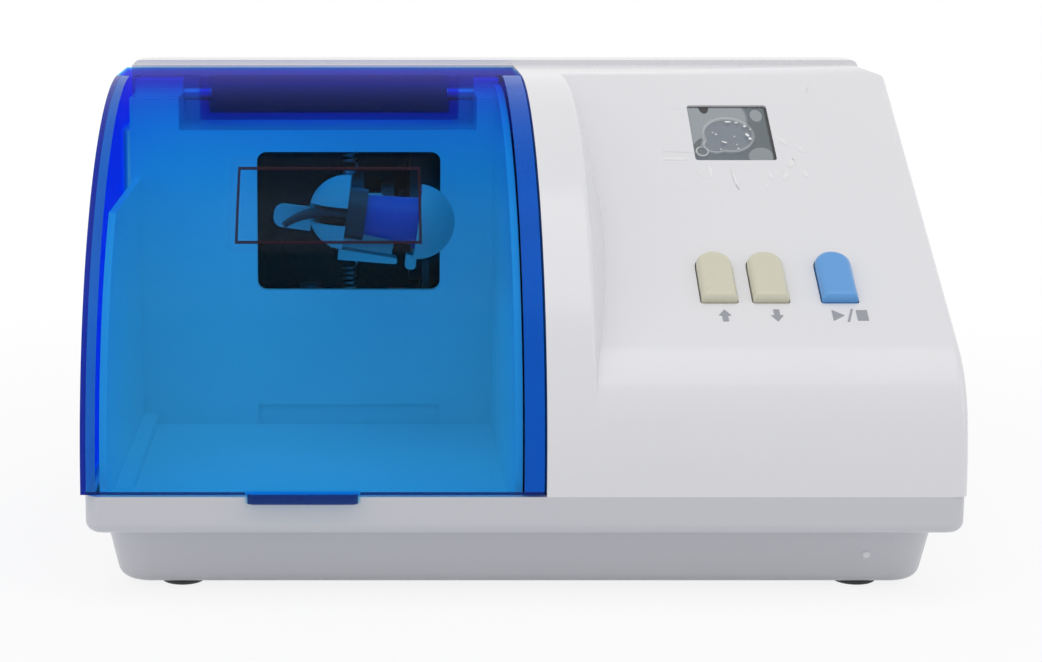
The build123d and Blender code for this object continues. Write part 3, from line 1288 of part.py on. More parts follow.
def sliding_cup():
    """Right cup of the clip: its lug slides along the rail, and its toe is what the thumb pushes."""
    body = cup(HALF_SPAN, 1)
    body += Pos(HALF_SPAN + JAW_W / 2, CUP_R + 2.6, 0) * Box(JAW_W, 7.2, RAIL_W + 4.0)
    toe = Pos(HALF_SPAN + JAW_W / 2 - 2.0, 0, -CUP_R - 0.8) * Box(JAW_W, 6.0, 4.4)
    body += fillet(toe.edges().filter_by(Axis.Y).sort_by(Axis.Z)[:2], 1.2)
    body -= Pos(HALF_SPAN, 0, 0) * Sphere(CUP_R - CUP_WALL)
    window = Pos(0, RAIL_BEHIND, 0) * Box(80, RAIL_T + 2 * CLEARANCE, RAIL_W + 2 * CLEARANCE)
    return clip_place(body - window)


def capsule_body():
    """Blue barrel of the capsule, between the two cups, a little wider at its right end."""
    long = 2 * HALF_SPAN - COLLAR_L - 0.5
    middle = (COLLAR_L - 0.5) / 2
    barrel = Pos(middle, 0, 0) * Rot(0, 90, 0) * Cone(CAPSULE_R, CAPSULE_R + CAPSULE_FLARE, long)
    barrel += axis_at(HALF_SPAN - 0.5, HALF_SPAN + 1.5, CAPSULE_R + CAPSULE_FLARE + 0.8)
    return clip_place(barrel - axis_at(-HALF_SPAN, HALF_SPAN - 4, CAPSULE_R - 1.2))


def capsule_plunger():
    """Plunger in the end of the barrel."""
    return clip_place(axis_at(HALF_SPAN + 1.5, HALF_SPAN + seat_depth(PLUNGER_R), PLUNGER_R))


def capsule_collar():
    """Dark red head of the capsule."""
    head = axis_at(-HALF_SPAN, -HALF_SPAN + COLLAR_L, COLLAR_R)
    head += axis_at(-HALF_SPAN - seat_depth(NECK_R), -HALF_SPAN, NECK_R)
    return clip_place(head)


def capsule_nozzle():
    """Curved, tapering spout of the capsule, out through the left cup's slot."""
    start = Vector(-HALF_SPAN + 0.2, -NOZZLE_OUT, 0)
    root = start - Vector(NOZZLE_STRAIGHT, 0, 0)
    tip = root + Vector(-14.4, -3.4, -5.3)
    bend = TangentArc(root, tip, tangent=Vector(-1, 0, 0))
    wide = Plane(origin=root, z_dir=bend % 0) * Circle(NOZZLE_ROOT_R)
    narrow = Plane(origin=tip, z_dir=bend % 1) * Circle(NOZZLE_TIP_R)
    spout = sweep([wide, narrow], path=bend, multisection=True)
    spout += extrude(Plane(origin=start, z_dir=(-1, 0, 0)) * Circle(NOZZLE_ROOT_R), amount=NOZZLE_STRAIGHT)
    return clip_place(spout) - capsule_collar()


def axis_at(x0, x1, r):
    """A bar along the clip's own axis between two places."""
    return Pos((x0 + x1) / 2, 0, 0) * axis_x((x1 - x0) / 2, r)


# ---------------------------------------------------------------- feet and screws
def rubber_foot(x, d):
    """Domed rubber foot with a screw hole, sunk a little into the lower case."""
    foot = rod_z(x, d, -TRAY_H - FOOT_H, -TRAY_H + FOOT_SUNK, FOOT_R)
    foot = fillet(foot.faces().sort_by(Axis.Z)[0].edges(), 1.5)
    foot -= rod_z(x, d, -TRAY_H - FOOT_H - 1, -TRAY_H - FOOT_H + 2, 2.8)
    return foot - rod_z(x, d, -TRAY_H - FOOT_H, -TRAY_H + FOOT_SUNK + 1, 1.6)


def foot_places():
    """X and depth of each foot."""
    return [(x, d) for x in (-FOOT_X, FOOT_X) for d in FOOT_D]


def foot_screws():
    """Screws that hold the feet on."""
    screws = []
    for x, d in foot_places():
        head = rod_z(x, d, -TRAY_H - FOOT_H + 0.4, -TRAY_H - FOOT_H + 2, 2.6)
        screws.append(head + rod_z(x, d, -TRAY_H - FOOT_H + 2, FLOOR_TOP + 3, 1.4))
    return group(screws)


def case_screws():
    """Screws that hold the lower case to the housing."""
    screws = []
    for x, d, _ in CASE_SCREWS:
        head = rod_z(x, d, -TRAY_H + HEAD_SINK - 2.4, -TRAY_H + HEAD_SINK, HEAD_R)
        screws.append(head + rod_z(x, d, -TRAY_H + HEAD_SINK, BOSS_H - 10, CASE_SCREW_R - 0.3))
    return group(screws)


def cover_screws():
    """Screws that hold the rear cover to the housing."""
    screws = []
    for x, h in REAR_BOSSES:
        head = rod_y(x, DEPTH - 2.4, DEPTH - 0.2, h, HEAD_R)
        screws.append(head + rod_y(x, SPLIT_D - REAR_BOSS_L + 4, DEPTH - 2.4, h, CASE_SCREW_R - 0.3))
    return group(screws)


# ---------------------------------------------------------------- all pieces
def build():
    """Every piece by name."""
    pieces = {
        "base_tray": base_tray(),
        "housing": housing(),
        "mixing_chamber": mixing_chamber(),
        "rear_cover": rear_cover(),
        "lid": lid(),
        "hinge_pins": hinge_pins(),
        "key_icons": key_icons(),
        "display_window": display_window(),
        "display_module": display_module(),
        "control_board": control_board(),
        "board_screws": board_screws(),
        "key_switches": key_switches(),
        "board_parts": board_parts(),
        "transformer_core": transformer(),
        "transformer_winding": transformer_winding(),
        "transformer_screws": transformer_screws(),
        "power_board": power_board(),
        "power_parts": power_parts(),
        "mains_inlet": mains_inlet(),
        "fuse_holder": fuse_holder(),
        "fuse_cap": fuse_cap(),
        "switch_frame": switch_frame(),
        "switch_rocker": switch_rocker(),
        "motor_can": motor_can(),
        "motor_end_cap": motor_end_cap(),
        "motor_magnets": motor_magnets(),
        "motor_bearings": motor_bearings(),
        "motor_brushes": motor_brushes(),
        "motor_shaft": motor_shaft(),
        "armature_core": armature_core(),
        "armature_windings": armature_windings(),
        "commutator": commutator(),
        "motor_fan": motor_fan(),
        "motor_cradle": motor_cradle(),
        "motor_strap": motor_strap(),
        "rubber_dampers": rubber_dampers(),
        "damper_screws": damper_screws(),
        "transport_knob_left": transport_knob(KNOB_X[0]),
        "transport_knob_right": transport_knob(KNOB_X[1]),
        "wobble_journal": wobble_journal(),
        "wobble_inner_race": wobble_inner_race(),
        "wobble_balls": wobble_balls(),
        "balance_weight": balance_weight(),
        "hub_ring": hub_ring(),
        "upper_spring": restraint_spring(SHAFT_H + RING_R + 0.9, SLAB_LOW - 0.3, "upper spring"),
        "lower_spring": restraint_spring(CRADLE_TOP + 0.3, SHAFT_H - RING_R - 0.9, "lower spring"),
        "mixing_arm": mixing_arm(),
        "fixed_cup": fixed_cup(),
        "sliding_cup": sliding_cup(),
        "capsule_body": capsule_body(),
        "capsule_plunger": capsule_plunger(),
        "capsule_collar": capsule_collar(),
        "capsule_nozzle": capsule_nozzle(),
        "rubber_feet": group(rubber_foot(x, d) for x, d in foot_places()),
        "foot_screws": foot_screws(),
        "case_screws": case_screws(),
        "cover_screws": cover_screws(),
    }
    for name, x in zip(KEY_NAMES, KEY_X):
        pieces[name] = key(x)
    return pieces


os.makedirs("parts", exist_ok=True)
for piece_name, piece in build().items():
    export_step(piece, f"parts/{piece_name}.step")
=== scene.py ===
"""Looks of a dental amalgamator: its plastics, clear lid, display, keys, films and studio.

Metres, +Z up, the front faces -Y, X runs to the user's right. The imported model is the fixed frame.
d is the depth behind the front seam and h the height above the seam, as in the part's source.
"""

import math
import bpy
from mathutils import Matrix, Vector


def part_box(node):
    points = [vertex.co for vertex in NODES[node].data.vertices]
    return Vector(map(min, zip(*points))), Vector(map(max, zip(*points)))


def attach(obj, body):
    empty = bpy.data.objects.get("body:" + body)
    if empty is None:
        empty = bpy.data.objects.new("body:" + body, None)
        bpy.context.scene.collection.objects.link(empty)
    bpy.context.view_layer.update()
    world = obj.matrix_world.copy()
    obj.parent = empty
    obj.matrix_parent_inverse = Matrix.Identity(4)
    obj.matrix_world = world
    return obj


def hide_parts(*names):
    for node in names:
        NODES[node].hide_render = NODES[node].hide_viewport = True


bl_info = {
    "name": "Dental Amalgamator Looks",
    "version": (1, 0, 0),
    "blender": (4, 5, 0),
    "location": "View3D > Sidebar > Amalgamator",
    "description": "Dresses a bench capsule mixer: plastics, clear lid, display, keys and studio",
    "category": "Object",
}

import bmesh
import bpy
from bpy.props import FloatProperty, FloatVectorProperty, IntProperty, PointerProperty
from mathutils import Matrix, Vector, noise
from mathutils.bvhtree import BVHTree

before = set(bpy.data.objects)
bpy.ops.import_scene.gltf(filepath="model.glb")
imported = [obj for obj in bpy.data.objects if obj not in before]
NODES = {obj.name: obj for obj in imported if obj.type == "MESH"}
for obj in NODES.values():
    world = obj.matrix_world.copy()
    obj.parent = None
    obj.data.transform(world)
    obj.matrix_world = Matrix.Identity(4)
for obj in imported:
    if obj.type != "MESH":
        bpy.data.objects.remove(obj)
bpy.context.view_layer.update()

MM = 0.001
WHITE = (1.0, 1.0, 1.0)
UPRIGHT = Matrix.Rotation(math.radians(90), 3, "X")  # stands a flat shape up, facing the front
JOIN_DISTANCE = 2e-6  # corners of a CAD node's loose triangles that lie closer are one

FRONT_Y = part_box("housing")[0].y
SEAM_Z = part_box("housing")[0].z
CROWN_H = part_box("housing")[1].z - SEAM_Z
CROWN_D = 122 * MM  # depth at which the front curve reaches the flat top
PANEL_ANGLE = math.radians(31.1)


def place(x, d, h):
    """A point from its X, its depth behind the front seam and its height above the seam, in mm."""
    return Vector((x * MM, FRONT_Y + d * MM, SEAM_Z + h * MM))


def on_lid(x, h, lift=0.0):
    """A point on the lid's curved face, from its X and its height above the seam, in metres."""
    reach_d = CROWN_D + lift
    reach_h = CROWN_H + lift
    back = math.sqrt(max(0.0, 1 - (h / reach_h) ** 2))
    return Vector((x, FRONT_Y + CROWN_D - reach_d * back, SEAM_Z + h))


PANEL_TOE = Vector((0, FRONT_Y, SEAM_Z + CROWN_H - CROWN_D * math.tan(PANEL_ANGLE)))
PANEL_FRAME = Matrix.Translation(PANEL_TOE) @ Matrix.Rotation(PANEL_ANGLE, 4, "X")
WINDOW_X = (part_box("display_window")[0].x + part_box("display_window")[1].x) / 2
WINDOW_U = 113 * MM  # from the panel's toe up the panel to the window's middle

# Angles in degrees past which faces meet in a sharp edge.
CASE_SHARP = 32.0
LID_SHARP = 24.0
SMALL_PART_SHARP = 40.0

# Nub on the lower case's front.
NUB_FOOT_RADIUS = 1.7 * MM
NUB_TIP_RADIUS = 0.9 * MM
NUB_DEPTH = 1.6 * MM
NUB_ROUND = 0.3 * MM
NUB_RIM_ANGLE = 1.0  # a rim's two faces meet at more than this, in radians
NUB_AIM = place(94.0, -20, -19.6)  # in front of the case; the nub sits straight behind it

# Foam mat behind the rear grille: a dust filter, and a dark sheet put there to keep light out of the
# case so that its inside lies in shade.
MAT_WIDTH = 112  # millimetres, and cells of one millimetre
MAT_HEIGHT = 66
MAT_THICKNESS = 1.2 * MM
MAT_RIPPLE = 0.25 * MM
MAT_RIPPLE_DENSITY = 700.0
MAT_MIDDLE = place(-47, 174.6, 59)

# Lid: its tints, how far skins, ink and carrier stand off it, and which of its faces are outer.
ACRYLIC_TINT = (0.96, 0.99, 1.0)
CARRIER_TINT = (0.985, 0.985, 0.99)
LIP_LIFT = 0.06 * MM
BAND_LIFT = 0.05 * MM
EDGE_LIFT = 0.08 * MM
GLOW_LIFT = 0.03 * MM
OUTER_FACE_Y = -0.02  # an outer face's normal points forward at least this much
SIDE_FACE_X = 0.8  # a side wall's normal points sideways more than this
STICKER_MIDDLE = Vector((-52.6 * MM, 73.2 * MM))  # X and height above the seam
STICKER_INK_LIFT = 0.16 * MM
STICKER_INK_ROWS = 14
CARRIER_LIFT = 0.08 * MM
CARRIER_THICKNESS = 0.06 * MM
CARRIER_RISE = Vector((0, 0.2 * MM))  # from the frame's middle to the carrier's
CARRIER_OVERHANG = Vector((2.2, 2.0)) * MM
CARRIER_ROWS = 20

# Studio.
SENSOR_WIDTH = 36.0
CAMERA_PLACE = (-0.0453, -0.7102, 0.190)
CAMERA_TILT = math.radians(79.5)  # from looking straight down
CAMERA_SHIFT = 0.159  # share of the frame's width by which the view moves to the right
FLOOR_SIZE = 6.0
CLEAN_FLOOR_REACH = (0.14, 0.42)  # the floor turns white between these distances from the origin


# ---------------------------------------------------------------- settings
class AmalgamatorPlastics(bpy.types.PropertyGroup):
    """Colours of the moulded parts, the rubber and the boards."""

    shell: FloatVectorProperty(
        name="Shell", description="Housing and rear cover", subtype="COLOR",
        default=(0.80, 0.80, 0.83),
    )
    tray: FloatVectorProperty(
        name="Lower case", description="Tray under the seam", subtype="COLOR",
        default=(0.62, 0.63, 0.67),
    )
    liner: FloatVectorProperty(
        name="Liner", description="Mixing chamber", subtype="COLOR", default=(0.92, 0.925, 0.93)
    )
    key_cream: FloatVectorProperty(
        name="Cream keys", description="The two arrow keys", subtype="COLOR",
        default=(0.66, 0.64, 0.50),
    )
    key_blue: FloatVectorProperty(
        name="Blue key", description="The start and stop key", subtype="COLOR",
        default=(0.10, 0.34, 0.74),
    )
    clip: FloatVectorProperty(
        name="Clip", description="Cups and arm", subtype="COLOR", default=(0.45, 0.52, 0.50)
    )
    print_grey: FloatVectorProperty(
        name="Print", description="Icons under the keys", subtype="COLOR",
        default=(0.33, 0.34, 0.38),
    )
    capsule: FloatVectorProperty(
        name="Capsule", description="Body and plunger", subtype="COLOR",
        default=(0.015, 0.06, 0.42),
    )
    collar: FloatVectorProperty(
        name="Capsule collar", description="Collar and nozzle", subtype="COLOR",
        default=(0.14, 0.012, 0.015),
    )
    knob: FloatVectorProperty(
        name="Transport knobs", description="The two knobs under the base", subtype="COLOR",
        default=(0.5, 0.02, 0.015),
    )
    black: FloatVectorProperty(
        name="Black plastic", description="Inlet, fuse holder, switch and small parts inside",
        subtype="COLOR", default=(0.02, 0.02, 0.022),
    )
    rubber: FloatVectorProperty(
        name="Rubber", description="Feet and dampers", subtype="COLOR",
        default=(0.015, 0.015, 0.016),
    )
    # Dark foam of the dust filter, which also keeps the case's inside in shade.
    foam: FloatVectorProperty(
        name="Foam", description="Mat behind the rear grille", subtype="COLOR",
        default=(0.02, 0.02, 0.02),
    )
    board: FloatVectorProperty(
        name="Boards", description="Circuit boards", subtype="COLOR", default=(0.02, 0.16, 0.06)
    )


class AmalgamatorMetals(bpy.types.PropertyGroup):
    """Colours of the drive, its mounting and the screws."""

    steel: FloatVectorProperty(
        name="Steel", description="Shafts, bearings, pins and springs", subtype="COLOR",
        default=(0.56, 0.56, 0.58),
    )
    zinc: FloatVectorProperty(
        name="Zinc", description="Motor strap", subtype="COLOR", default=(0.62, 0.63, 0.6)
    )
    # Black paint on the motor can and cradle, darkened also to stand in for the shade inside the
    # case behind the window.
    paint: FloatVectorProperty(
        name="Black paint", description="Motor can and cradle", subtype="COLOR",
        default=(0.03, 0.03, 0.033),
    )
    screw: FloatVectorProperty(
        name="Screws", description="Every screw", subtype="COLOR", default=(0.5, 0.5, 0.52)
    )
    core: FloatVectorProperty(
        name="Transformer core", description="Stacked plates", subtype="COLOR",
        default=(0.2, 0.2, 0.22),
    )
    armature: FloatVectorProperty(
        name="Armature", description="Stacked plates of the rotor", subtype="COLOR",
        default=(0.22, 0.22, 0.24),
    )
    copper: FloatVectorProperty(
        name="Copper wire", description="Windings", subtype="COLOR", default=(0.62, 0.26, 0.1)
    )
    commutator: FloatVectorProperty(
        name="Commutator", description="Turned copper", subtype="COLOR",
        default=(0.66, 0.34, 0.18),
    )
    magnet: FloatVectorProperty(
        name="Magnets", description="Magnets and brushes", subtype="COLOR",
        default=(0.08, 0.08, 0.09),
    )


class AmalgamatorLid(bpy.types.PropertyGroup):
    """The clear blue lid, the painted light in its walls and edges, and the sticker on it."""

    dye: FloatVectorProperty(
        name="Dye", description="Colour that the dye lets through", subtype="COLOR",
        default=(0.08, 0.765, 0.988),
    )
    strength: FloatProperty(
        name="Dye strength", description="Share taken up per metre", default=650.0, min=0
    )
    sticker_width: FloatProperty(
        name="Sticker width", description="Printed frame, side to side", unit="LENGTH",
        default=50.8 * MM,
    )
    sticker_height: FloatProperty(
        name="Sticker height", description="Printed frame, from its lower to its upper line",
        unit="LENGTH", default=18.4 * MM,
    )
    sticker_line: FloatProperty(
        name="Frame line", description="Width of the printed line", unit="LENGTH",
        default=0.75 * MM,
    )
    sticker_ink: FloatVectorProperty(
        name="Ink", description="Printed frame", subtype="COLOR", default=(0.016, 0.002, 0.012)
    )
    # Painted light: a blue band that stands in for light caught and carried along the lid's right
    # wall.
    band: FloatVectorProperty(
        name="Right band", description="Light caught in the right wall", subtype="COLOR",
        default=(0.004, 0.13, 0.72),
    )
    band_width: FloatProperty(
        name="Band width", description="Right band", unit="LENGTH", default=5.3 * MM
    )
    # Painted highlight: a thin strip that stands in for light caught in the lid's left edge.
    edge: FloatVectorProperty(
        name="Left edge", description="Light caught in the left edge", subtype="COLOR",
        default=(0.012, 0.025, 0.42),
    )
    edge_width: FloatProperty(
        name="Edge width", description="Left edge", unit="LENGTH", default=1.5 * MM
    )
    # Painted highlight: a wider strip that stands in for light reflected beside the lid's left edge.
    glow: FloatVectorProperty(
        name="Left glow", description="Light caught beside the left edge", subtype="COLOR",
        default=(0.02, 0.17, 0.56),
    )
    glow_width: FloatProperty(
        name="Glow width", description="Left glow", unit="LENGTH", default=4.0 * MM
    )
    lip: FloatVectorProperty(
        name="Lip", description="Lower edge and finger tab", subtype="COLOR",
        default=(0.008, 0.02, 0.19),
    )
    lip_height: FloatProperty(
        name="Lip height", description="Height of the dark lower edge", unit="LENGTH",
        default=1.4 * MM,
    )


class AmalgamatorFilm(bpy.types.PropertyGroup):
    """Protective film over the display."""

    width: FloatProperty(
        name="Width", description="Side to side", unit="LENGTH", default=47.6 * MM
    )
    length: FloatProperty(
        name="Length", description="Up the panel", unit="LENGTH", default=55.7 * MM
    )
    skew: FloatProperty(
        name="Skew", description="How much further right its top edge is", unit="LENGTH",
        default=3.4 * MM,
    )
    right: FloatProperty(
        name="Right", description="Its middle, right of the window's", unit="LENGTH",
        default=2.75 * MM,
    )
    down: FloatProperty(
        name="Down", description="Its middle, down the panel from the window's", unit="LENGTH",
        default=1.35 * MM,
    )
    lift: FloatProperty(
        name="Lift", description="Height over the panel", unit="LENGTH", default=0.1 * MM
    )
    wrinkle: FloatProperty(
        name="Wrinkle", description="Height of the folds", unit="LENGTH", default=0.12 * MM
    )
    folds: FloatProperty(name="Folds", description="Folds per metre", default=160.0, min=0)
    cells: IntProperty(name="Cells", description="Divisions along each side", default=60, min=8)


class AmalgamatorStudio(bpy.types.PropertyGroup):
    """Floor, lamps and camera."""

    floor: FloatVectorProperty(
        name="Floor", description="Colour of the floor", subtype="COLOR",
        default=(0.92, 0.92, 0.93),
    )
    clean: FloatProperty(
        name="Clean floor", description="Share of the floor near the object that shows as white",
        default=0.85, min=0, max=1,
    )
    sky: FloatProperty(name="Sky", description="Strength of the even light", default=0.60, min=0)
    key_power: FloatProperty(
        name="Main lamp", description="Overhead soft box", unit="POWER", default=3.4
    )
    side_power: FloatProperty(
        name="Side lamps", description="Each side soft box", unit="POWER", default=1.1
    )
    lens: FloatProperty(
        name="Lens", description="Focal length in mm on a 36 mm sensor", default=83.3
    )


# ---------------------------------------------------------------- materials
# The Mix node's factor, its two inputs and its output, which depend on what it mixes.
MIX_SOCKETS = {"FLOAT": (0, 2, 3, 0), "RGBA": (0, 6, 7, 2)}
WAVE_LENGTH = math.pi / 10  # of the Wave Texture at scale 1
EDGE_MIRROR = 0.12  # share that clear plastic mirrors when seen edge on
EDGE_FALLOFF = 5.0  # power by which that share drops towards a straight view
FAR_OUT = 1000  # half size of an oval out of the panel, so that only its outline counts


class Graph:
    """Nodes and links of a material or of the world."""

    def __init__(self, tree, output):
        self.tree = tree
        self.tree.nodes.clear()
        self.output = self.add(output)

    def add(self, kind, **settings):
        """One node, with its properties and its sockets' values or links."""
        node = self.tree.nodes.new(kind)
        for key, value in settings.items():
            socket = key.replace("_", " ")
            if socket in node.inputs:
                self.feed(node.inputs[socket], value)
            else:
                setattr(node, key, value)
        return node

    def join(self, source, target):
        """A link from one socket to another."""
        self.tree.links.new(source, target)

    def feed(self, socket, value):
        """A link to a socket, or a plain number, vector or colour set on it."""
        if isinstance(value, bpy.types.NodeSocket):
            self.join(value, socket)
        elif socket.type == "RGBA":
            socket.default_value = (*value[:3], 1)
        else:
            socket.default_value = value

    def math(self, operation, first, second):
        """Two values or sockets put through one sum."""
        node = self.add("ShaderNodeMath", operation=operation)
        for socket, value in zip(node.inputs, (first, second)):
            self.feed(socket, value)
        return node.outputs["Value"]

    def either(self, share, first, second):
        """One shader, or another one where share is 1."""
        node = self.add("ShaderNodeMixShader")
        for socket, value in zip(node.inputs, (share, first, second)):
            self.feed(socket, value)
        return node.outputs["Shader"]

    def looked_at(self):
        """1 for what the camera, a mirror or a clear part looks at, and 0 for light."""
        paths = self.add("ShaderNodeLightPath").outputs
        seen = self.math("MAXIMUM", paths["Is Camera Ray"], paths["Is Glossy Ray"])
        return self.math("MAXIMUM", seen, paths["Is Transmission Ray"])

    def show(self, shader):
        """Gives the surface, or the sky, its shader."""
        self.join(shader, self.output.inputs["Surface"])


class Finish(Graph):
    """Builds one material node by node."""

    def __init__(self, name):
        self.material = bpy.data.materials.new(name)
        self.material.use_nodes = True
        super().__init__(self.material.node_tree, "ShaderNodeOutputMaterial")
        self.coords = self.add("ShaderNodeTexCoord").outputs["Object"]

    def mapped(self, source, kind="POINT", middle=(0, 0, 0), turn=(0, 0, 0), scale=(1, 1, 1)):
        """Coordinates moved, turned and scaled, or with kind TEXTURE brought back from that."""
        node = self.add(
            "ShaderNodeMapping",
            vector_type=kind, Vector=source, Location=middle, Rotation=turn, Scale=scale,
        )
        return node.outputs["Vector"]

    def on_panel(self):
        """Millimetres across, up and out of the panel from the middle of the display window."""
        middle = PANEL_FRAME @ Vector((WINDOW_X, WINDOW_U, 0))
        return self.mapped(self.coords, "TEXTURE", middle, (PANEL_ANGLE, 0, 0), (MM, MM, MM))

    def along(self, vector, axis):
        """One of a vector's three values."""
        return self.add("ShaderNodeSeparateXYZ", Vector=vector).outputs[axis]

    def distance(self, vector):
        """How long a vector is."""
        return self.add("ShaderNodeVectorMath", operation="LENGTH", Vector=vector).outputs["Value"]

    def oval(self, vector, centre, radii, turn=0.0, soft=0.04):
        """1 inside an oval and 0 outside it; turn is in degrees, soft a share of its size."""
        turned = (0, 0, math.radians(turn))
        spot = self.mapped(vector, "TEXTURE", (*centre, 0), turned, (*radii, FAR_OUT))
        return self.step(self.distance(spot), 1 + soft, 1 - soft)

    def noise(self, scale, detail=3.0, source=None):
        """Noise over the surface; scale is in features per metre."""
        vector = source or self.coords
        node = self.add("ShaderNodeTexNoise", Vector=vector, Scale=scale, Detail=detail)
        return node.outputs["Fac"]

    def between(self, source, low, high):
        """A value from 0 to 1, brought between two others."""
        node = self.add("ShaderNodeMapRange", Value=source, To_Min=low, To_Max=high)
        return node.outputs["Result"]

    def step(self, source, low, high):
        """A value run from 0 at low to 1 at high."""
        node = self.add("ShaderNodeMapRange", Value=source, From_Min=low, From_Max=high)
        return node.outputs["Result"]

    def mix(self, kind, factor, first, second):
        """Two values (FLOAT) or colours (RGBA), plain or from sockets, mixed."""
        node = self.add("ShaderNodeMix", data_type=kind)
        *inputs, output = MIX_SOCKETS[kind]
        for index, value in zip(inputs, (factor, first, second)):
            self.feed(node.inputs[index], value)
        return node.outputs[output]

    def layer(self, under, mask, value):
        """A value, or another one where a mask is 1."""
        return self.mix("FLOAT", mask, under, value)

    def blend(self, factor, first, second):
        """One colour, or another one where factor is 1."""
        return self.mix("RGBA", factor, first, second)

    def varied(self, colour, factor, amount):
        """A colour that is a little darker where factor is high."""
        return self.blend(factor, colour, [channel * (1 - amount) for channel in colour])

    def bump(self, height, strength, distance, under=None):
        """A bump from a height socket, over another one."""
        sockets = {"Normal": under} if under else {}
        node = self.add(
            "ShaderNodeBump", Height=height, Strength=strength, Distance=distance, **sockets
        )
        return node.outputs["Normal"]

    def shader(self, colour, roughness, normal=None, **sockets):
        """The Principled shader, from plain values or sockets."""
        if normal:
            sockets["Normal"] = normal
        node = self.add(
            "ShaderNodeBsdfPrincipled", Base_Color=colour, Roughness=roughness, **sockets
        )
        return node.outputs["BSDF"]

    def done(self, shader):
        """The finished material."""
        self.show(shader)
        return self.material


def moulded(name, colour, roughness, coat=0.0, grain=2600.0, grain_depth=0.004, mottle=0.03):
    """Injection-moulded plastic: faint flow marks in the colour, fine grain and uneven gloss."""
    finish = Finish(name)
    tone = finish.varied(colour, finish.noise(22.0, detail=4.0), mottle)
    wave = finish.noise(90.0, detail=2.0)
    gloss = finish.between(wave, low=roughness * 0.85, high=roughness * 1.2)
    long_wave = finish.bump(wave, strength=0.12, distance=0.02 * MM)
    fine = finish.noise(grain, detail=2.0)
    normal = finish.bump(fine, strength=0.35, distance=grain_depth * MM, under=long_wave)
    return finish.done(finish.shader(tone, gloss, normal, Coat_Weight=coat, Coat_Roughness=0.08))


def lit_edge(name, colour, cover):
    """Flat colour with little shine and a trace of what lies behind: ink, dyed plastic seen at full
    depth, and painted light in the lid's walls and edges.
    """
    finish = Finish(name)
    tone = finish.varied(colour, finish.noise(45.0), amount=0.25)
    gloss = finish.between(finish.noise(120.0), low=0.15, high=0.35)
    return finish.done(finish.shader(tone, gloss, Alpha=cover, Specular_IOR_Level=0.08))


def brushed(name, colour, roughness, along=(8.0, 900.0, 900.0)):
    """Drawn, turned or plated metal; along gives its marks per metre on each axis."""
    finish = Finish(name)
    lines = finish.noise(1.0, source=finish.mapped(finish.coords, scale=along))
    tone = finish.varied(colour, finish.noise(60.0), amount=0.18)
    gloss = finish.between(lines, low=roughness * 0.7, high=roughness * 1.3)
    normal = finish.bump(lines, strength=0.3, distance=0.01 * MM)
    return finish.done(finish.shader(tone, gloss, normal, Metallic=1.0))


def rubbery(name, colour):
    """Matt rubber or foam with a dusty bloom."""
    finish = Finish(name)
    dust = finish.step(finish.noise(160.0, detail=5.0), low=0.45, high=0.75)
    tone = finish.blend(dust, colour, [channel + 0.02 for channel in colour])
    gloss = finish.between(dust, low=0.55, high=0.75)
    grain = finish.noise(3800.0, detail=2.0)
    normal = finish.bump(grain, strength=0.5, distance=0.01 * MM)
    return finish.done(finish.shader(tone, gloss, normal))


def ribbed_metal(name, colour, pitch, axis):
    """A stack of thin plates, or turns of wire, seen from the side."""
    finish = Finish(name)
    wave = finish.add(
        "ShaderNodeTexWave",
        bands_direction=axis, Vector=finish.coords, Scale=WAVE_LENGTH / pitch, Distortion=0.6,
    )
    lines = wave.outputs["Fac"]
    tone = finish.varied(colour, lines, amount=0.35)
    gloss = finish.between(lines, low=0.32, high=0.5)
    normal = finish.bump(lines, strength=0.5, distance=pitch * 0.2)
    return finish.done(finish.shader(tone, gloss, normal, Metallic=0.85))


def solder_mask(name, colour):
    """Green circuit board with faint tracks."""
    finish = Finish(name)
    brick = finish.add("ShaderNodeTexBrick", Vector=finish.coords, Scale=150.0)
    tracks = finish.step(brick.outputs["Fac"], low=0.2, high=0.8)
    tone = finish.blend(tracks, colour, [channel * 1.6 for channel in colour])
    gloss = finish.between(tracks, low=0.3, high=0.42)
    normal = finish.bump(tracks, strength=0.4, distance=0.03 * MM)
    return finish.done(finish.shader(tone, gloss, normal))


def clear_sheet(name, tint, gloss=0.03, mirror=0.003, dye=None, strength=0.0):
    """Clear plastic that mirrors more towards its edges; a dye deepens with light's way through."""
    finish = Finish(name)
    facing = finish.add("ShaderNodeLayerWeight", Blend=0.5).outputs["Facing"]
    grazing = finish.math("POWER", facing, EDGE_FALLOFF)
    share = finish.between(grazing, low=mirror, high=EDGE_MIRROR)
    drawn_out = finish.mapped(finish.coords, scale=(1.0, 3.0, 1.0))
    smears = finish.noise(35.0, detail=4.0, source=drawn_out)
    sheen = finish.between(smears, low=gloss * 0.5, high=gloss * 1.8)
    clear = finish.add("ShaderNodeBsdfTransparent", Color=tint)
    shine = finish.add("ShaderNodeBsdfGlossy", Roughness=sheen)
    if dye:
        inside = finish.add("ShaderNodeVolumeAbsorption", Color=dye, Density=strength)
        finish.join(inside.outputs["Volume"], finish.output.inputs["Volume"])
    return finish.done(finish.either(share, clear.outputs["BSDF"], shine.outputs["BSDF"]))
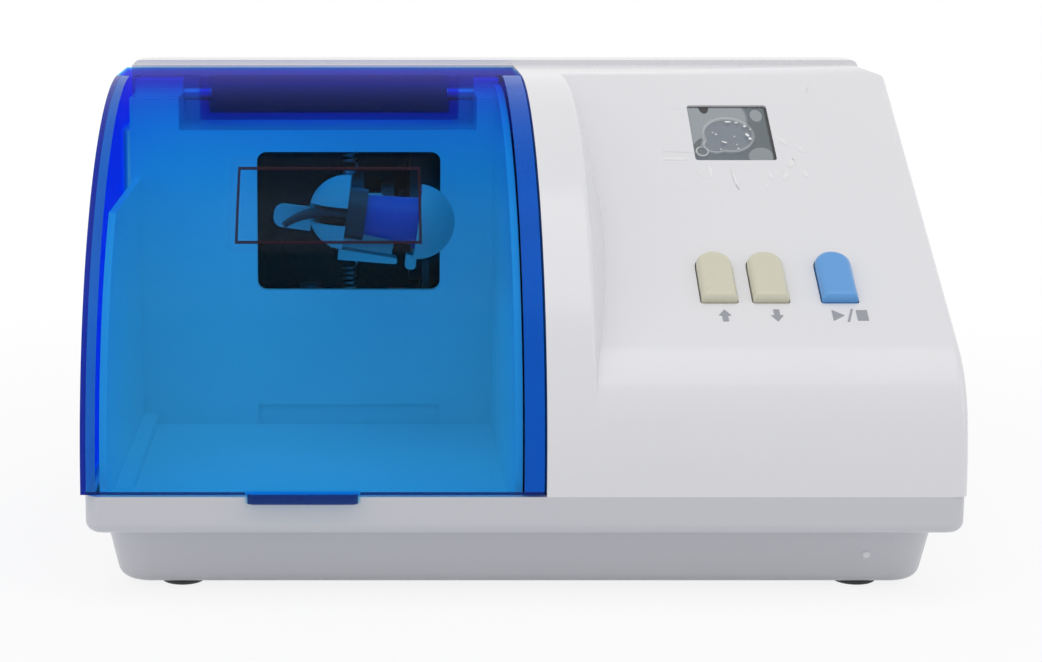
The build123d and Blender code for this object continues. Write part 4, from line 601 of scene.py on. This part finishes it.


# Marks in the film, painted highlights where its bubbles and folds catch the light, and below them
# painted shade along its creases: millimetres right of and up the panel from the window's middle,
# half sizes, turn in degrees, and how much they hide. Later ones lie over earlier ones.
BARE = 0.015  # what flat film hides
FILM_HAZE_AND_HIGHLIGHTS = (
    (-1.0, -1.4, 7.5, 8.3, 0, 0.42),
    (-5.4, -6.6, 3.6, 3.5, 0, 0.42),
    (-1.0, -1.4, 7.25, 8.0, 0, BARE),
    (-5.4, -6.6, 3.3, 3.2, 0, BARE),
    (-9.7, -9.6, 1.9, 2.3, 0, 0.5),
    (-9.6, -9.5, 1.5, 1.9, 0, BARE),
    (-0.5, 4.9, 1.0, 0.35, 0, 0.75),
    (2.0, 4.5, 0.5, 0.35, 0, 0.65),
    (4.3, 2.7, 0.45, 0.45, 0, 0.8),
    (5.8, 1.2, 0.28, 0.3, 0, 0.6),
    (-5.6, -0.4, 0.25, 0.25, 0, 0.6),
    (-4.7, -1.3, 0.35, 0.3, 0, 0.7),
    (-2.6, -5.1, 0.9, 0.3, -28, 0.8),
    (4.6, -1.6, 0.45, 0.9, 25, 0.8),
    (5.2, -3.4, 0.5, 0.6, 0, 0.75),
    (0.7, -2.3, 0.25, 0.3, 0, 0.55),
    (-4.0, -8.6, 0.22, 0.3, 0, 0.6),
    (1.0, -6.3, 0.22, 0.3, 0, 0.55),
    (1.2, -8.2, 0.3, 0.3, 0, 0.55),
    (-18.0, -13.4, 4.0, 0.45, 0, 0.5),
    (-8.4, -19.5, 0.6, 3.0, 0, 0.6),
    (-1.3, -24.5, 0.45, 3.6, 8, 0.5),
    (14.7, -4.7, 0.7, 1.7, 25, 0.6),
    (19.6, -8.8, 0.6, 1.5, 20, 0.6),
    (15.8, -15.2, 0.8, 2.2, -20, 0.65),
    (9.1, -21.6, 0.5, 1.8, 10, 0.5),
    (13.5, -21.6, 0.7, 1.9, -25, 0.6),
    (19.4, -20.8, 0.6, 1.2, 0, 0.6),
    (7.5, -26.3, 0.5, 1.4, 0, 0.5),
)
# Painted shade along the film's creases, in the same columns.
FILM_CREASES = (
    (-16.6, -10.0, 5.2, 0.22, -4, 0.153),
    (-16.0, 11.5, 3.9, 0.16, -6, 0.09),
    (-2.2, -21.0, 0.2, 4.2, 3, 0.117),
    (-1.4, -26.4, 0.2, 1.8, 16, 0.135),
    (-11.6, -21.0, 0.2, 2.6, 30, 0.09),
    (25.6, 21.2, 0.3, 2.3, -18, 0.113),
    (16.6, -13.6, 0.2, 1.6, 30, 0.09),
    (12.6, -19.6, 0.2, 1.5, -30, 0.09),
)
CREASE_SHADE_GREY = (0.2, 0.2, 0.22)

# Painted reflections of the film over the display, in the cell's colour, where the film clings to
# the display or stands off it: place, half sizes and turn as above, and a colour. Under them the
# cell runs from one colour at its left to another at its right.
CELL_FILM_REFLECTIONS = (
    (-7.0, 8.0, 12.5, 14.0, 0, (0.30, 0.335, 0.36)),
    (8.5, 9.0, 1.8, 3.0, 0, (0.29, 0.32, 0.345)),
    (7.7, -11.0, 3.6, 4.2, -20, (0.25, 0.28, 0.30)),
    (-1.0, -1.4, 7.3, 8.1, 0, (0.195, 0.225, 0.265)),
    (-5.4, -6.6, 3.4, 3.3, 0, (0.195, 0.225, 0.265)),
    (-10.4, -5.1, 3.1, 0.9, 65, (0.11, 0.14, 0.155)),
    (-9.6, -9.5, 1.5, 1.9, 0, (0.15, 0.18, 0.20)),
)
CELL_LEFT = (0.13, 0.165, 0.19)
CELL_RIGHT = (0.105, 0.135, 0.15)
CELL_HALF = 9.0
# Painted shadow in black under the window's top and right edges, where the cell lies below the
# panel; the tab takes the same black.
SHADOW_AND_TAB_BLACK = (0.012, 0.012, 0.016)
SHADOW_RIGHT = (10.9, 11.4)  # the painted shadow under the window's right edge begins between these, right of the window's middle
SHADOW_TOP = (12.7, 13.2)  # and the painted shadow under its top edge between these, up the panel from it
DARK_TAB = ((-6.9, 13.2), (1.5, 3.2))  # middle and half sizes of the dark tab that hangs from the top shadow


def film_plastic():
    """Clear film, faintly cloudy, with painted highlights on its bubbles and folds and painted shade
    along its creases as fine grey lines.
    """
    finish = Finish("film_plastic")
    spot = finish.on_panel()
    haze_and_highlight = BARE
    # painted highlights on the film's bubbles and folds
    for x, y, half_x, half_y, turn, value in FILM_HAZE_AND_HIGHLIGHTS:
        mark = finish.oval(spot, (x, y), (half_x, half_y), turn, soft=0.06)
        haze_and_highlight = finish.layer(haze_and_highlight, mark, value)
    grey = 0.0
    # painted shade along the creases, as fine grey lines
    for x, y, half_x, half_y, turn, value in FILM_CREASES:
        mark = finish.oval(spot, (x, y), (half_x, half_y), turn, soft=0.5)
        grey = finish.layer(grey, mark, value)
    tone = finish.blend(finish.step(grey, low=0.0, high=0.12), WHITE, CREASE_SHADE_GREY)
    cover = finish.math("MAXIMUM", haze_and_highlight, grey)
    return finish.done(finish.shader(tone, roughness=0.3, Specular_IOR_Level=0.8, Alpha=cover))


def display_cell():
    """Grey liquid crystal cell, with painted reflections of the film over it, a painted shadow under
    the window's top and right edges and a dark tab under the top edge.
    """
    finish = Finish("display_cell")
    spot = finish.on_panel()
    across = finish.along(spot, "X")
    cell_and_reflections = finish.blend(finish.step(across, -CELL_HALF, CELL_HALF), CELL_LEFT, CELL_RIGHT)
    # painted reflections of the film over the cell
    for x, y, half_x, half_y, turn, shade in CELL_FILM_REFLECTIONS:
        cell_and_reflections = finish.blend(finish.oval(spot, (x, y), (half_x, half_y), turn), cell_and_reflections, shade)
    # painted shadow under the window's right and top edges, and the tab
    right = finish.step(across, *SHADOW_RIGHT)
    top = finish.step(finish.along(spot, "Y"), *SHADOW_TOP)
    dark = finish.math("MAXIMUM", right, top)
    dark = finish.math("MAXIMUM", dark, finish.oval(spot, *DARK_TAB))
    tone = finish.blend(dark, cell_and_reflections, SHADOW_AND_TAB_BLACK)
    return finish.done(finish.shader(tone, roughness=0.2))


# ---------------------------------------------------------------- meshes
def new_piece(name, mesh_source, material, body):
    """An object from a bmesh, in place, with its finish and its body."""
    mesh = bpy.data.meshes.new(name)
    mesh_source.to_mesh(mesh)
    mesh_source.free()
    piece = bpy.data.objects.new(name, mesh)
    bpy.context.scene.collection.objects.link(piece)
    mesh.materials.append(material)
    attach(piece, body)
    return piece


def coat(material, *names):
    """Gives CAD nodes a finish."""
    for name in names:
        slots = NODES[name].data.materials
        slots.clear()
        slots.append(material)


def merged(node):
    """A copy of a CAD node's mesh with its loose triangles joined."""
    form = bmesh.new()
    form.from_mesh(NODES[node].data)
    bmesh.ops.remove_doubles(form, verts=form.verts, dist=JOIN_DISTANCE)
    return form


def smoothed(node, material, body, angle=CASE_SHARP):
    """A shaded copy of a CAD node, sharp where faces meet at more than an angle in degrees."""
    form = merged(node)
    for face in form.faces:
        face.smooth = True
    for edge in form.edges:
        inner = len(edge.link_faces) == 2
        edge.smooth = inner and edge.calc_face_angle() < math.radians(angle)
    piece = new_piece(f"{node}_shell", form, material, body)
    shading = piece.modifiers.new("Even shading", "WEIGHTED_NORMAL")
    shading.keep_sharp = True
    shading.weight = 80
    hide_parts(node)
    return piece


def front_nub():
    """A small round nub, set on the lower case's front wall."""
    nub = bmesh.new()
    bmesh.ops.create_cone(
        nub, cap_ends=True, segments=24,
        radius1=NUB_FOOT_RADIUS, radius2=NUB_TIP_RADIUS, depth=NUB_DEPTH,
    )
    rims = [edge for edge in nub.edges if edge.calc_face_angle() > NUB_RIM_ANGLE]
    bmesh.ops.bevel(
        nub, geom=rims, offset=NUB_ROUND, segments=3, profile=0.5, affect="EDGES", material=-1
    )
    bmesh.ops.rotate(nub, matrix=UPRIGHT, verts=nub.verts)
    wall = bmesh.new()
    wall.from_mesh(NODES["base_tray"].data)
    spot = BVHTree.FromBMesh(wall).ray_cast(NUB_AIM, Vector((0, 1, 0)))[0]
    wall.free()
    bmesh.ops.translate(nub, vec=spot, verts=nub.verts)
    return nub


def foam_mat():
    """A thin upright mat with an uneven face."""
    mat = bmesh.new()
    bmesh.ops.create_grid(mat, x_segments=MAT_WIDTH, y_segments=MAT_HEIGHT, size=0.5)
    bmesh.ops.scale(mat, vec=(MAT_WIDTH * MM, MAT_HEIGHT * MM, 1.0), verts=mat.verts)
    for vert in mat.verts:
        vert.co.z = MAT_RIPPLE * noise.noise(vert.co * MAT_RIPPLE_DENSITY)
    bmesh.ops.rotate(mat, matrix=UPRIGHT, verts=mat.verts)
    bmesh.ops.translate(mat, vec=MAT_MIDDLE, verts=mat.verts)
    bmesh.ops.solidify(mat, geom=mat.faces[:], thickness=MAT_THICKNESS)
    return mat


def film_sheet(film):
    """The film over the display: a skewed rectangle on the panel that rises and falls a little."""
    sheet = bmesh.new()
    bmesh.ops.create_grid(sheet, x_segments=film.cells, y_segments=film.cells, size=0.5)
    bmesh.ops.scale(sheet, vec=(film.width, film.length, 1.0), verts=sheet.verts)
    for vert in sheet.verts:
        vert.co.x += film.skew * vert.co.y / film.length
        vert.co.z = film.lift + film.wrinkle * (0.5 + 0.5 * noise.noise(vert.co * film.folds))
    middle = (WINDOW_X + film.right, WINDOW_U - film.down, 0.0)
    bmesh.ops.translate(sheet, vec=middle, verts=sheet.verts)
    bmesh.ops.transform(sheet, matrix=PANEL_FRAME, verts=sheet.verts)
    return sheet


def lid_skin(lift, point, beyond):
    """The lid's outer curved face beyond a plane, lifted off it a little."""
    form = merged("lid")
    whole = form.verts[:] + form.edges[:] + form.faces[:]
    bmesh.ops.bisect_plane(form, geom=whole, plane_co=point, plane_no=beyond, clear_inner=True)
    form.normal_update()
    inner = [
        face for face in form.faces
        if face.normal.y > OUTER_FACE_Y or abs(face.normal.x) > SIDE_FACE_X
    ]
    bmesh.ops.delete(form, geom=inner, context="FACES")
    form.normal_update()
    for vert in form.verts:
        vert.co += vert.normal * lift
    return form


def flat_sheet(middle, half, rows):
    """An upright sheet in X and height, cut into rows so that it can follow a curve."""
    sheet = bmesh.new()
    bmesh.ops.create_grid(sheet, x_segments=1, y_segments=rows, size=1.0)
    bmesh.ops.scale(sheet, vec=(half.x, half.y, 1.0), verts=sheet.verts)
    bmesh.ops.translate(sheet, vec=(middle.x, middle.y, 0.0), verts=sheet.verts)
    return sheet


def wrap_on_lid(sheet, lift):
    """Lays a flat sheet on the lid's curved face, lifted a little off it."""
    for vert in sheet.verts:
        vert.co = on_lid(vert.co.x, vert.co.y, lift)
    bmesh.ops.recalc_face_normals(sheet, faces=sheet.faces)


def sticker_frame(half, line):
    """The printed frame on the lid, one line wide."""
    border = flat_sheet(STICKER_MIDDLE, half, STICKER_INK_ROWS)
    ring = bmesh.ops.inset_region(
        border, faces=border.faces[:], thickness=line, use_boundary=True, use_even_offset=True
    )
    inner = [face for face in border.faces if face not in ring["faces"]]
    bmesh.ops.delete(border, geom=inner, context="FACES")
    wrap_on_lid(border, STICKER_INK_LIFT)
    return border


def sticker_carrier(half):
    """The clear sheet that carries the printed frame."""
    film = flat_sheet(STICKER_MIDDLE + CARRIER_RISE, half + CARRIER_OVERHANG, CARRIER_ROWS)
    wrap_on_lid(film, CARRIER_LIFT)
    bmesh.ops.solidify(film, geom=film.faces[:], thickness=CARRIER_THICKNESS)
    return film


# ---------------------------------------------------------------- studio
# Soft boxes: name, place, the point they face, their two sizes and the setting with their power.
SOFT_BOXES = (
    ("overhead", (0.0, -0.3, 1.1), (0, 0, 0.05), (1.3, 0.9), "key_power"),
    ("left_side", (-1.0, -0.5, 0.55), (0, 0, 0.06), (0.5, 0.9), "side_power"),
    ("right_side", (1.0, -0.5, 0.55), (0, 0, 0.06), (0.5, 0.9), "side_power"),
)


def soft_box(name, location, aim, size, power):
    """One flat area lamp turned to face a point."""
    data = bpy.data.lights.new(name, "AREA")
    data.shape = "RECTANGLE"
    data.size, data.size_y = size
    data.energy = power
    lamp = bpy.data.objects.new(name, data)
    lamp.location = location
    lamp.rotation_euler = (Vector(aim) - Vector(location)).to_track_quat("-Z", "Y").to_euler()
    bpy.context.scene.collection.objects.link(lamp)


def backdrop_world(strength):
    """White where the camera, mirrors and clear parts look, and an even light elsewhere."""
    world = bpy.data.worlds.new("studio_sky")
    world.use_nodes = True
    sky = Graph(world.node_tree, "ShaderNodeOutputWorld")
    lit = sky.add("ShaderNodeBackground", Color=WHITE, Strength=strength)
    white = sky.add("ShaderNodeBackground", Color=WHITE, Strength=1.0)
    sky.show(sky.either(sky.looked_at(), lit.outputs["Background"], white.outputs["Background"]))
    bpy.context.scene.world = world


def studio_floor(colour, clean):
    """Pale matt floor that keeps the shadow, shows white further off and is clear from below."""
    finish = Finish("studio_floor")
    tone = finish.varied(colour, finish.noise(40.0), amount=0.01)
    matt = finish.shader(tone, roughness=0.8, Specular_IOR_Level=0.1)
    far = finish.step(finish.distance(finish.coords), *CLEAN_FLOOR_REACH)
    whiteness = finish.between(far, low=clean, high=1.0)
    share = finish.math("MULTIPLY", whiteness, finish.looked_at())
    white = finish.add("ShaderNodeEmission", Color=WHITE, Strength=1.0).outputs["Emission"]
    below = finish.add("ShaderNodeNewGeometry").outputs["Backfacing"]
    clear = finish.add("ShaderNodeBsdfTransparent").outputs["BSDF"]
    return finish.done(finish.either(below, finish.either(share, matt, white), clear))


def view_camera(lens):
    """A camera at the photograph's viewing angle."""
    data = bpy.data.cameras.new("view")
    data.lens = lens
    data.sensor_width = SENSOR_WIDTH
    data.shift_x = CAMERA_SHIFT
    camera = bpy.data.objects.new("view", data)
    camera.location = CAMERA_PLACE
    camera.rotation_euler = (CAMERA_TILT, 0, 0)
    bpy.context.scene.collection.objects.link(camera)
    return camera


# ---------------------------------------------------------------- operators
class AMALGAMATOR_OT_case(bpy.types.Operator):
    """Finishes the housing, rear cover, lower case and liner, and adds the nub on the front"""

    bl_idname = "amalgamator.case"
    bl_label = "Case"

    def execute(self, context):
        colours = context.scene.amalgamator_plastics
        shell = moulded("gloss_shell", colours.shell, roughness=0.22, coat=0.25)
        tray = moulded("satin_tray", colours.tray, roughness=0.34, coat=0.05)
        liner = moulded("gloss_liner", colours.liner, roughness=0.3)
        smoothed("housing", shell, "case")
        smoothed("rear_cover", shell, "case")
        smoothed("base_tray", tray, "case")
        smoothed("mixing_chamber", liner, "case")
        new_piece("front_nub", front_nub(), shell, "case")
        return {"FINISHED"}


class AMALGAMATOR_OT_lid(bpy.types.Operator):
    """Finishes the clear lid, and adds its coloured edges (its dark lower lip, painted light in its
    right wall, painted highlights at its left edge) and the empty sticker
    """

    bl_idname = "amalgamator.lid"
    bl_label = "Lid"

    def execute(self, context):
        look = context.scene.amalgamator_lid
        acrylic = clear_sheet("blue_acrylic", ACRYLIC_TINT, dye=look.dye, strength=look.strength)
        smoothed("lid", acrylic, "lid", angle=LID_SHARP)
        left, right = (corner.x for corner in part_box("lid"))
        lip = lit_edge("lid_lip_blue", look.lip, cover=0.9)
        rim = lid_skin(LIP_LIFT, (0, 0, SEAM_Z + look.lip_height), (0, 0, -1))
        new_piece("lid_lip", rim, lip, "lid")
        # painted light caught in the lid's right wall
        band = lit_edge("lid_band_blue", look.band, cover=0.85)
        side = lid_skin(BAND_LIFT, (right - look.band_width, 0, 0), (1, 0, 0))
        new_piece("lid_right_band", side, band, "lid")
        # painted highlight along the lid's left edge
        edge = lit_edge("lid_edge_blue", look.edge, cover=0.9)
        side = lid_skin(EDGE_LIFT, (left + look.edge_width, 0, 0), (-1, 0, 0))
        new_piece("lid_left_edge", side, edge, "lid")
        # painted highlight beside the lid's left edge
        glow = lit_edge("lid_glow_blue", look.glow, cover=0.8)
        side = lid_skin(GLOW_LIFT, (left + look.glow_width, 0, 0), (-1, 0, 0))
        new_piece("lid_left_glow", side, glow, "lid")
        half = Vector((look.sticker_width / 2, look.sticker_height / 2))
        ink = lit_edge("frame_ink", look.sticker_ink, cover=0.92)
        border = sticker_frame(half, look.sticker_line)
        new_piece("sticker_frame", border, ink, "lid")
        clear = clear_sheet("sticker_clear", CARRIER_TINT, gloss=0.12, mirror=0.002)
        new_piece("sticker_film", sticker_carrier(half), clear, "lid")
        return {"FINISHED"}


class AMALGAMATOR_OT_controls(bpy.types.Operator):
    """Finishes the keys, their icons and the display, and adds the film over the display"""

    bl_idname = "amalgamator.controls"
    bl_label = "Keys and display"

    def execute(self, context):
        colours = context.scene.amalgamator_plastics
        cream = moulded("cream_key", colours.key_cream, roughness=0.28, coat=0.2)
        blue = moulded("blue_key", colours.key_blue, roughness=0.24, coat=0.2)
        smoothed("key_up", cream, "key_up", angle=SMALL_PART_SHARP)
        smoothed("key_down", cream, "key_down", angle=SMALL_PART_SHARP)
        smoothed("key_start", blue, "key_start", angle=SMALL_PART_SHARP)
        coat(moulded("grey_print", colours.print_grey, roughness=0.5), "key_icons")
        coat(display_cell(), "display_window", "display_module")
        film = film_sheet(context.scene.amalgamator_film)
        new_piece("display_film", film, film_plastic(), "case")
        return {"FINISHED"}


class AMALGAMATOR_OT_clip(bpy.types.Operator):
    """Finishes the capsule clip, the arm behind it and the capsule"""

    bl_idname = "amalgamator.clip"
    bl_label = "Clip and capsule"

    def execute(self, context):
        colours = context.scene.amalgamator_plastics
        mint = moulded("mint_clip", colours.clip, roughness=0.35)
        smoothed("fixed_cup", mint, "arm", angle=SMALL_PART_SHARP)
        smoothed("sliding_cup", mint, "jaw", angle=SMALL_PART_SHARP)
        coat(mint, "mixing_arm")
        blue = moulded("capsule_blue", colours.capsule, roughness=0.3)
        red = moulded("capsule_red", colours.collar, roughness=0.3)
        smoothed("capsule_body", blue, "arm", angle=SMALL_PART_SHARP)
        smoothed("capsule_collar", red, "arm", angle=SMALL_PART_SHARP)
        coat(blue, "capsule_plunger")
        coat(red, "capsule_nozzle")
        return {"FINISHED"}


class AMALGAMATOR_OT_metal(bpy.types.Operator):
    """Finishes the drive, its mounting, the transformer and every screw"""

    bl_idname = "amalgamator.metal"
    bl_label = "Drive and screws"

    def execute(self, context):
        metals = context.scene.amalgamator_metals
        plate = 0.5 * MM
        wire = 0.4 * MM
        steel = brushed("turned_steel", metals.steel, roughness=0.3)
        coat(steel, "hinge_pins", "motor_shaft", "hub_ring", "wobble_inner_race", "wobble_balls")
        coat(steel, "wobble_journal", "balance_weight", "motor_bearings")
        coat(steel, "upper_spring", "lower_spring")
        zinc = brushed("zinc_plate", metals.zinc, roughness=0.38, along=(300.0, 300.0, 300.0))
        coat(zinc, "motor_strap")
        # black paint that also stands in for the shade behind the window
        coat(moulded("black_paint", metals.paint, roughness=0.4), "motor_can", "motor_cradle")
        screw = brushed("plated_screw", metals.screw, roughness=0.34, along=(500.0, 500.0, 500.0))
        coat(screw, "board_screws", "transformer_screws", "damper_screws", "foot_screws")
        coat(screw, "case_screws", "cover_screws")
        coat(ribbed_metal("laminations", metals.core, plate, "Y"), "transformer_core")
        coat(ribbed_metal("armature_stack", metals.armature, plate, "X"), "armature_core")
        coat(ribbed_metal("copper_turns", metals.copper, wire, "Z"), "transformer_winding")
        coat(ribbed_metal("armature_turns", metals.copper, wire, "X"), "armature_windings")
        coat(brushed("commutator_copper", metals.commutator, roughness=0.35), "commutator")
        ferrite = brushed("magnet_ferrite", metals.magnet, roughness=0.6)
        coat(ferrite, "motor_magnets", "motor_brushes")
        return {"FINISHED"}


class AMALGAMATOR_OT_fittings(bpy.types.Operator):
    """Finishes the rear fittings, boards, rubber and transport knobs, and adds the foam mat, a dust
    filter that also keeps the case's inside in shade
    """

    bl_idname = "amalgamator.fittings"
    bl_label = "Fittings"

    def execute(self, context):
        colours = context.scene.amalgamator_plastics
        black = moulded("black_plastic", colours.black, roughness=0.4, grain_depth=0.01)
        coat(black, "key_switches", "board_parts", "mains_inlet", "fuse_holder", "fuse_cap")
        coat(black, "switch_frame", "switch_rocker", "motor_end_cap", "power_parts", "motor_fan")
        coat(solder_mask("circuit_board", colours.board), "control_board", "power_board")
        coat(rubbery("black_rubber", colours.rubber), "rubber_feet", "rubber_dampers")
        # dark foam mat: a dust filter, and a dark sheet that keeps light out of the case for shade
        # behind the window
        foam = rubbery("filter_foam", colours.foam)
        new_piece("dust_filter", foam_mat(), foam, "case")
        red = moulded("red_knob", colours.knob, roughness=0.35)
        coat(red, "transport_knob_left", "transport_knob_right")
        return {"FINISHED"}


class AMALGAMATOR_OT_studio(bpy.types.Operator):
    """Sets up the floor, the lamps, the white backdrop and the camera"""

    bl_idname = "amalgamator.studio"
    bl_label = "Studio"

    def execute(self, context):
        scene = context.scene
        studio = scene.amalgamator_studio
        scene.view_settings.view_transform = "Standard"
        form = bmesh.new()
        bmesh.ops.create_grid(form, x_segments=1, y_segments=1, size=FLOOR_SIZE)
        mesh = bpy.data.meshes.new("floor")
        form.to_mesh(mesh)
        form.free()
        floor = bpy.data.objects.new("floor", mesh)
        scene.collection.objects.link(floor)
        mesh.materials.append(studio_floor(studio.floor, studio.clean))
        backdrop_world(studio.sky)
        for name, location, aim, size, power in SOFT_BOXES:
            soft_box(name, location, aim, size, getattr(studio, power))
        scene.camera = view_camera(studio.lens)
        return {"FINISHED"}


class AMALGAMATOR_PT_sidebar(bpy.types.Panel):
    """Lists the pieces and their settings"""

    bl_idname = "AMALGAMATOR_PT_sidebar"
    bl_label = "Dental Amalgamator"
    bl_space_type = "VIEW_3D"
    bl_region_type = "UI"
    bl_category = "Amalgamator"

    def draw(self, context):
        for operator in OPERATORS:
            self.layout.operator(operator.bl_idname)
        for name in SETTINGS:
            group = getattr(context.scene, name)
            box = self.layout.box()
            for key in group.__annotations__:
                box.prop(group, key)


SETTINGS = {
    "amalgamator_plastics": AmalgamatorPlastics,
    "amalgamator_metals": AmalgamatorMetals,
    "amalgamator_lid": AmalgamatorLid,
    "amalgamator_film": AmalgamatorFilm,
    "amalgamator_studio": AmalgamatorStudio,
}
OPERATORS = (
    AMALGAMATOR_OT_case,
    AMALGAMATOR_OT_lid,
    AMALGAMATOR_OT_controls,
    AMALGAMATOR_OT_clip,
    AMALGAMATOR_OT_metal,
    AMALGAMATOR_OT_fittings,
    AMALGAMATOR_OT_studio,
)


def register():
    for kind in (*SETTINGS.values(), *OPERATORS, AMALGAMATOR_PT_sidebar):
        bpy.utils.register_class(kind)
    for name, kind in SETTINGS.items():
        setattr(bpy.types.Scene, name, PointerProperty(type=kind))


def unregister():
    for name in SETTINGS:
        delattr(bpy.types.Scene, name)
    for kind in (AMALGAMATOR_PT_sidebar, *OPERATORS, *SETTINGS.values()):
        bpy.utils.unregister_class(kind)


def main():
    register()
    for operator in OPERATORS:
        group, action = operator.bl_idname.split(".")
        getattr(getattr(bpy.ops, group), action)()


if __name__ == "__main__":
    main()
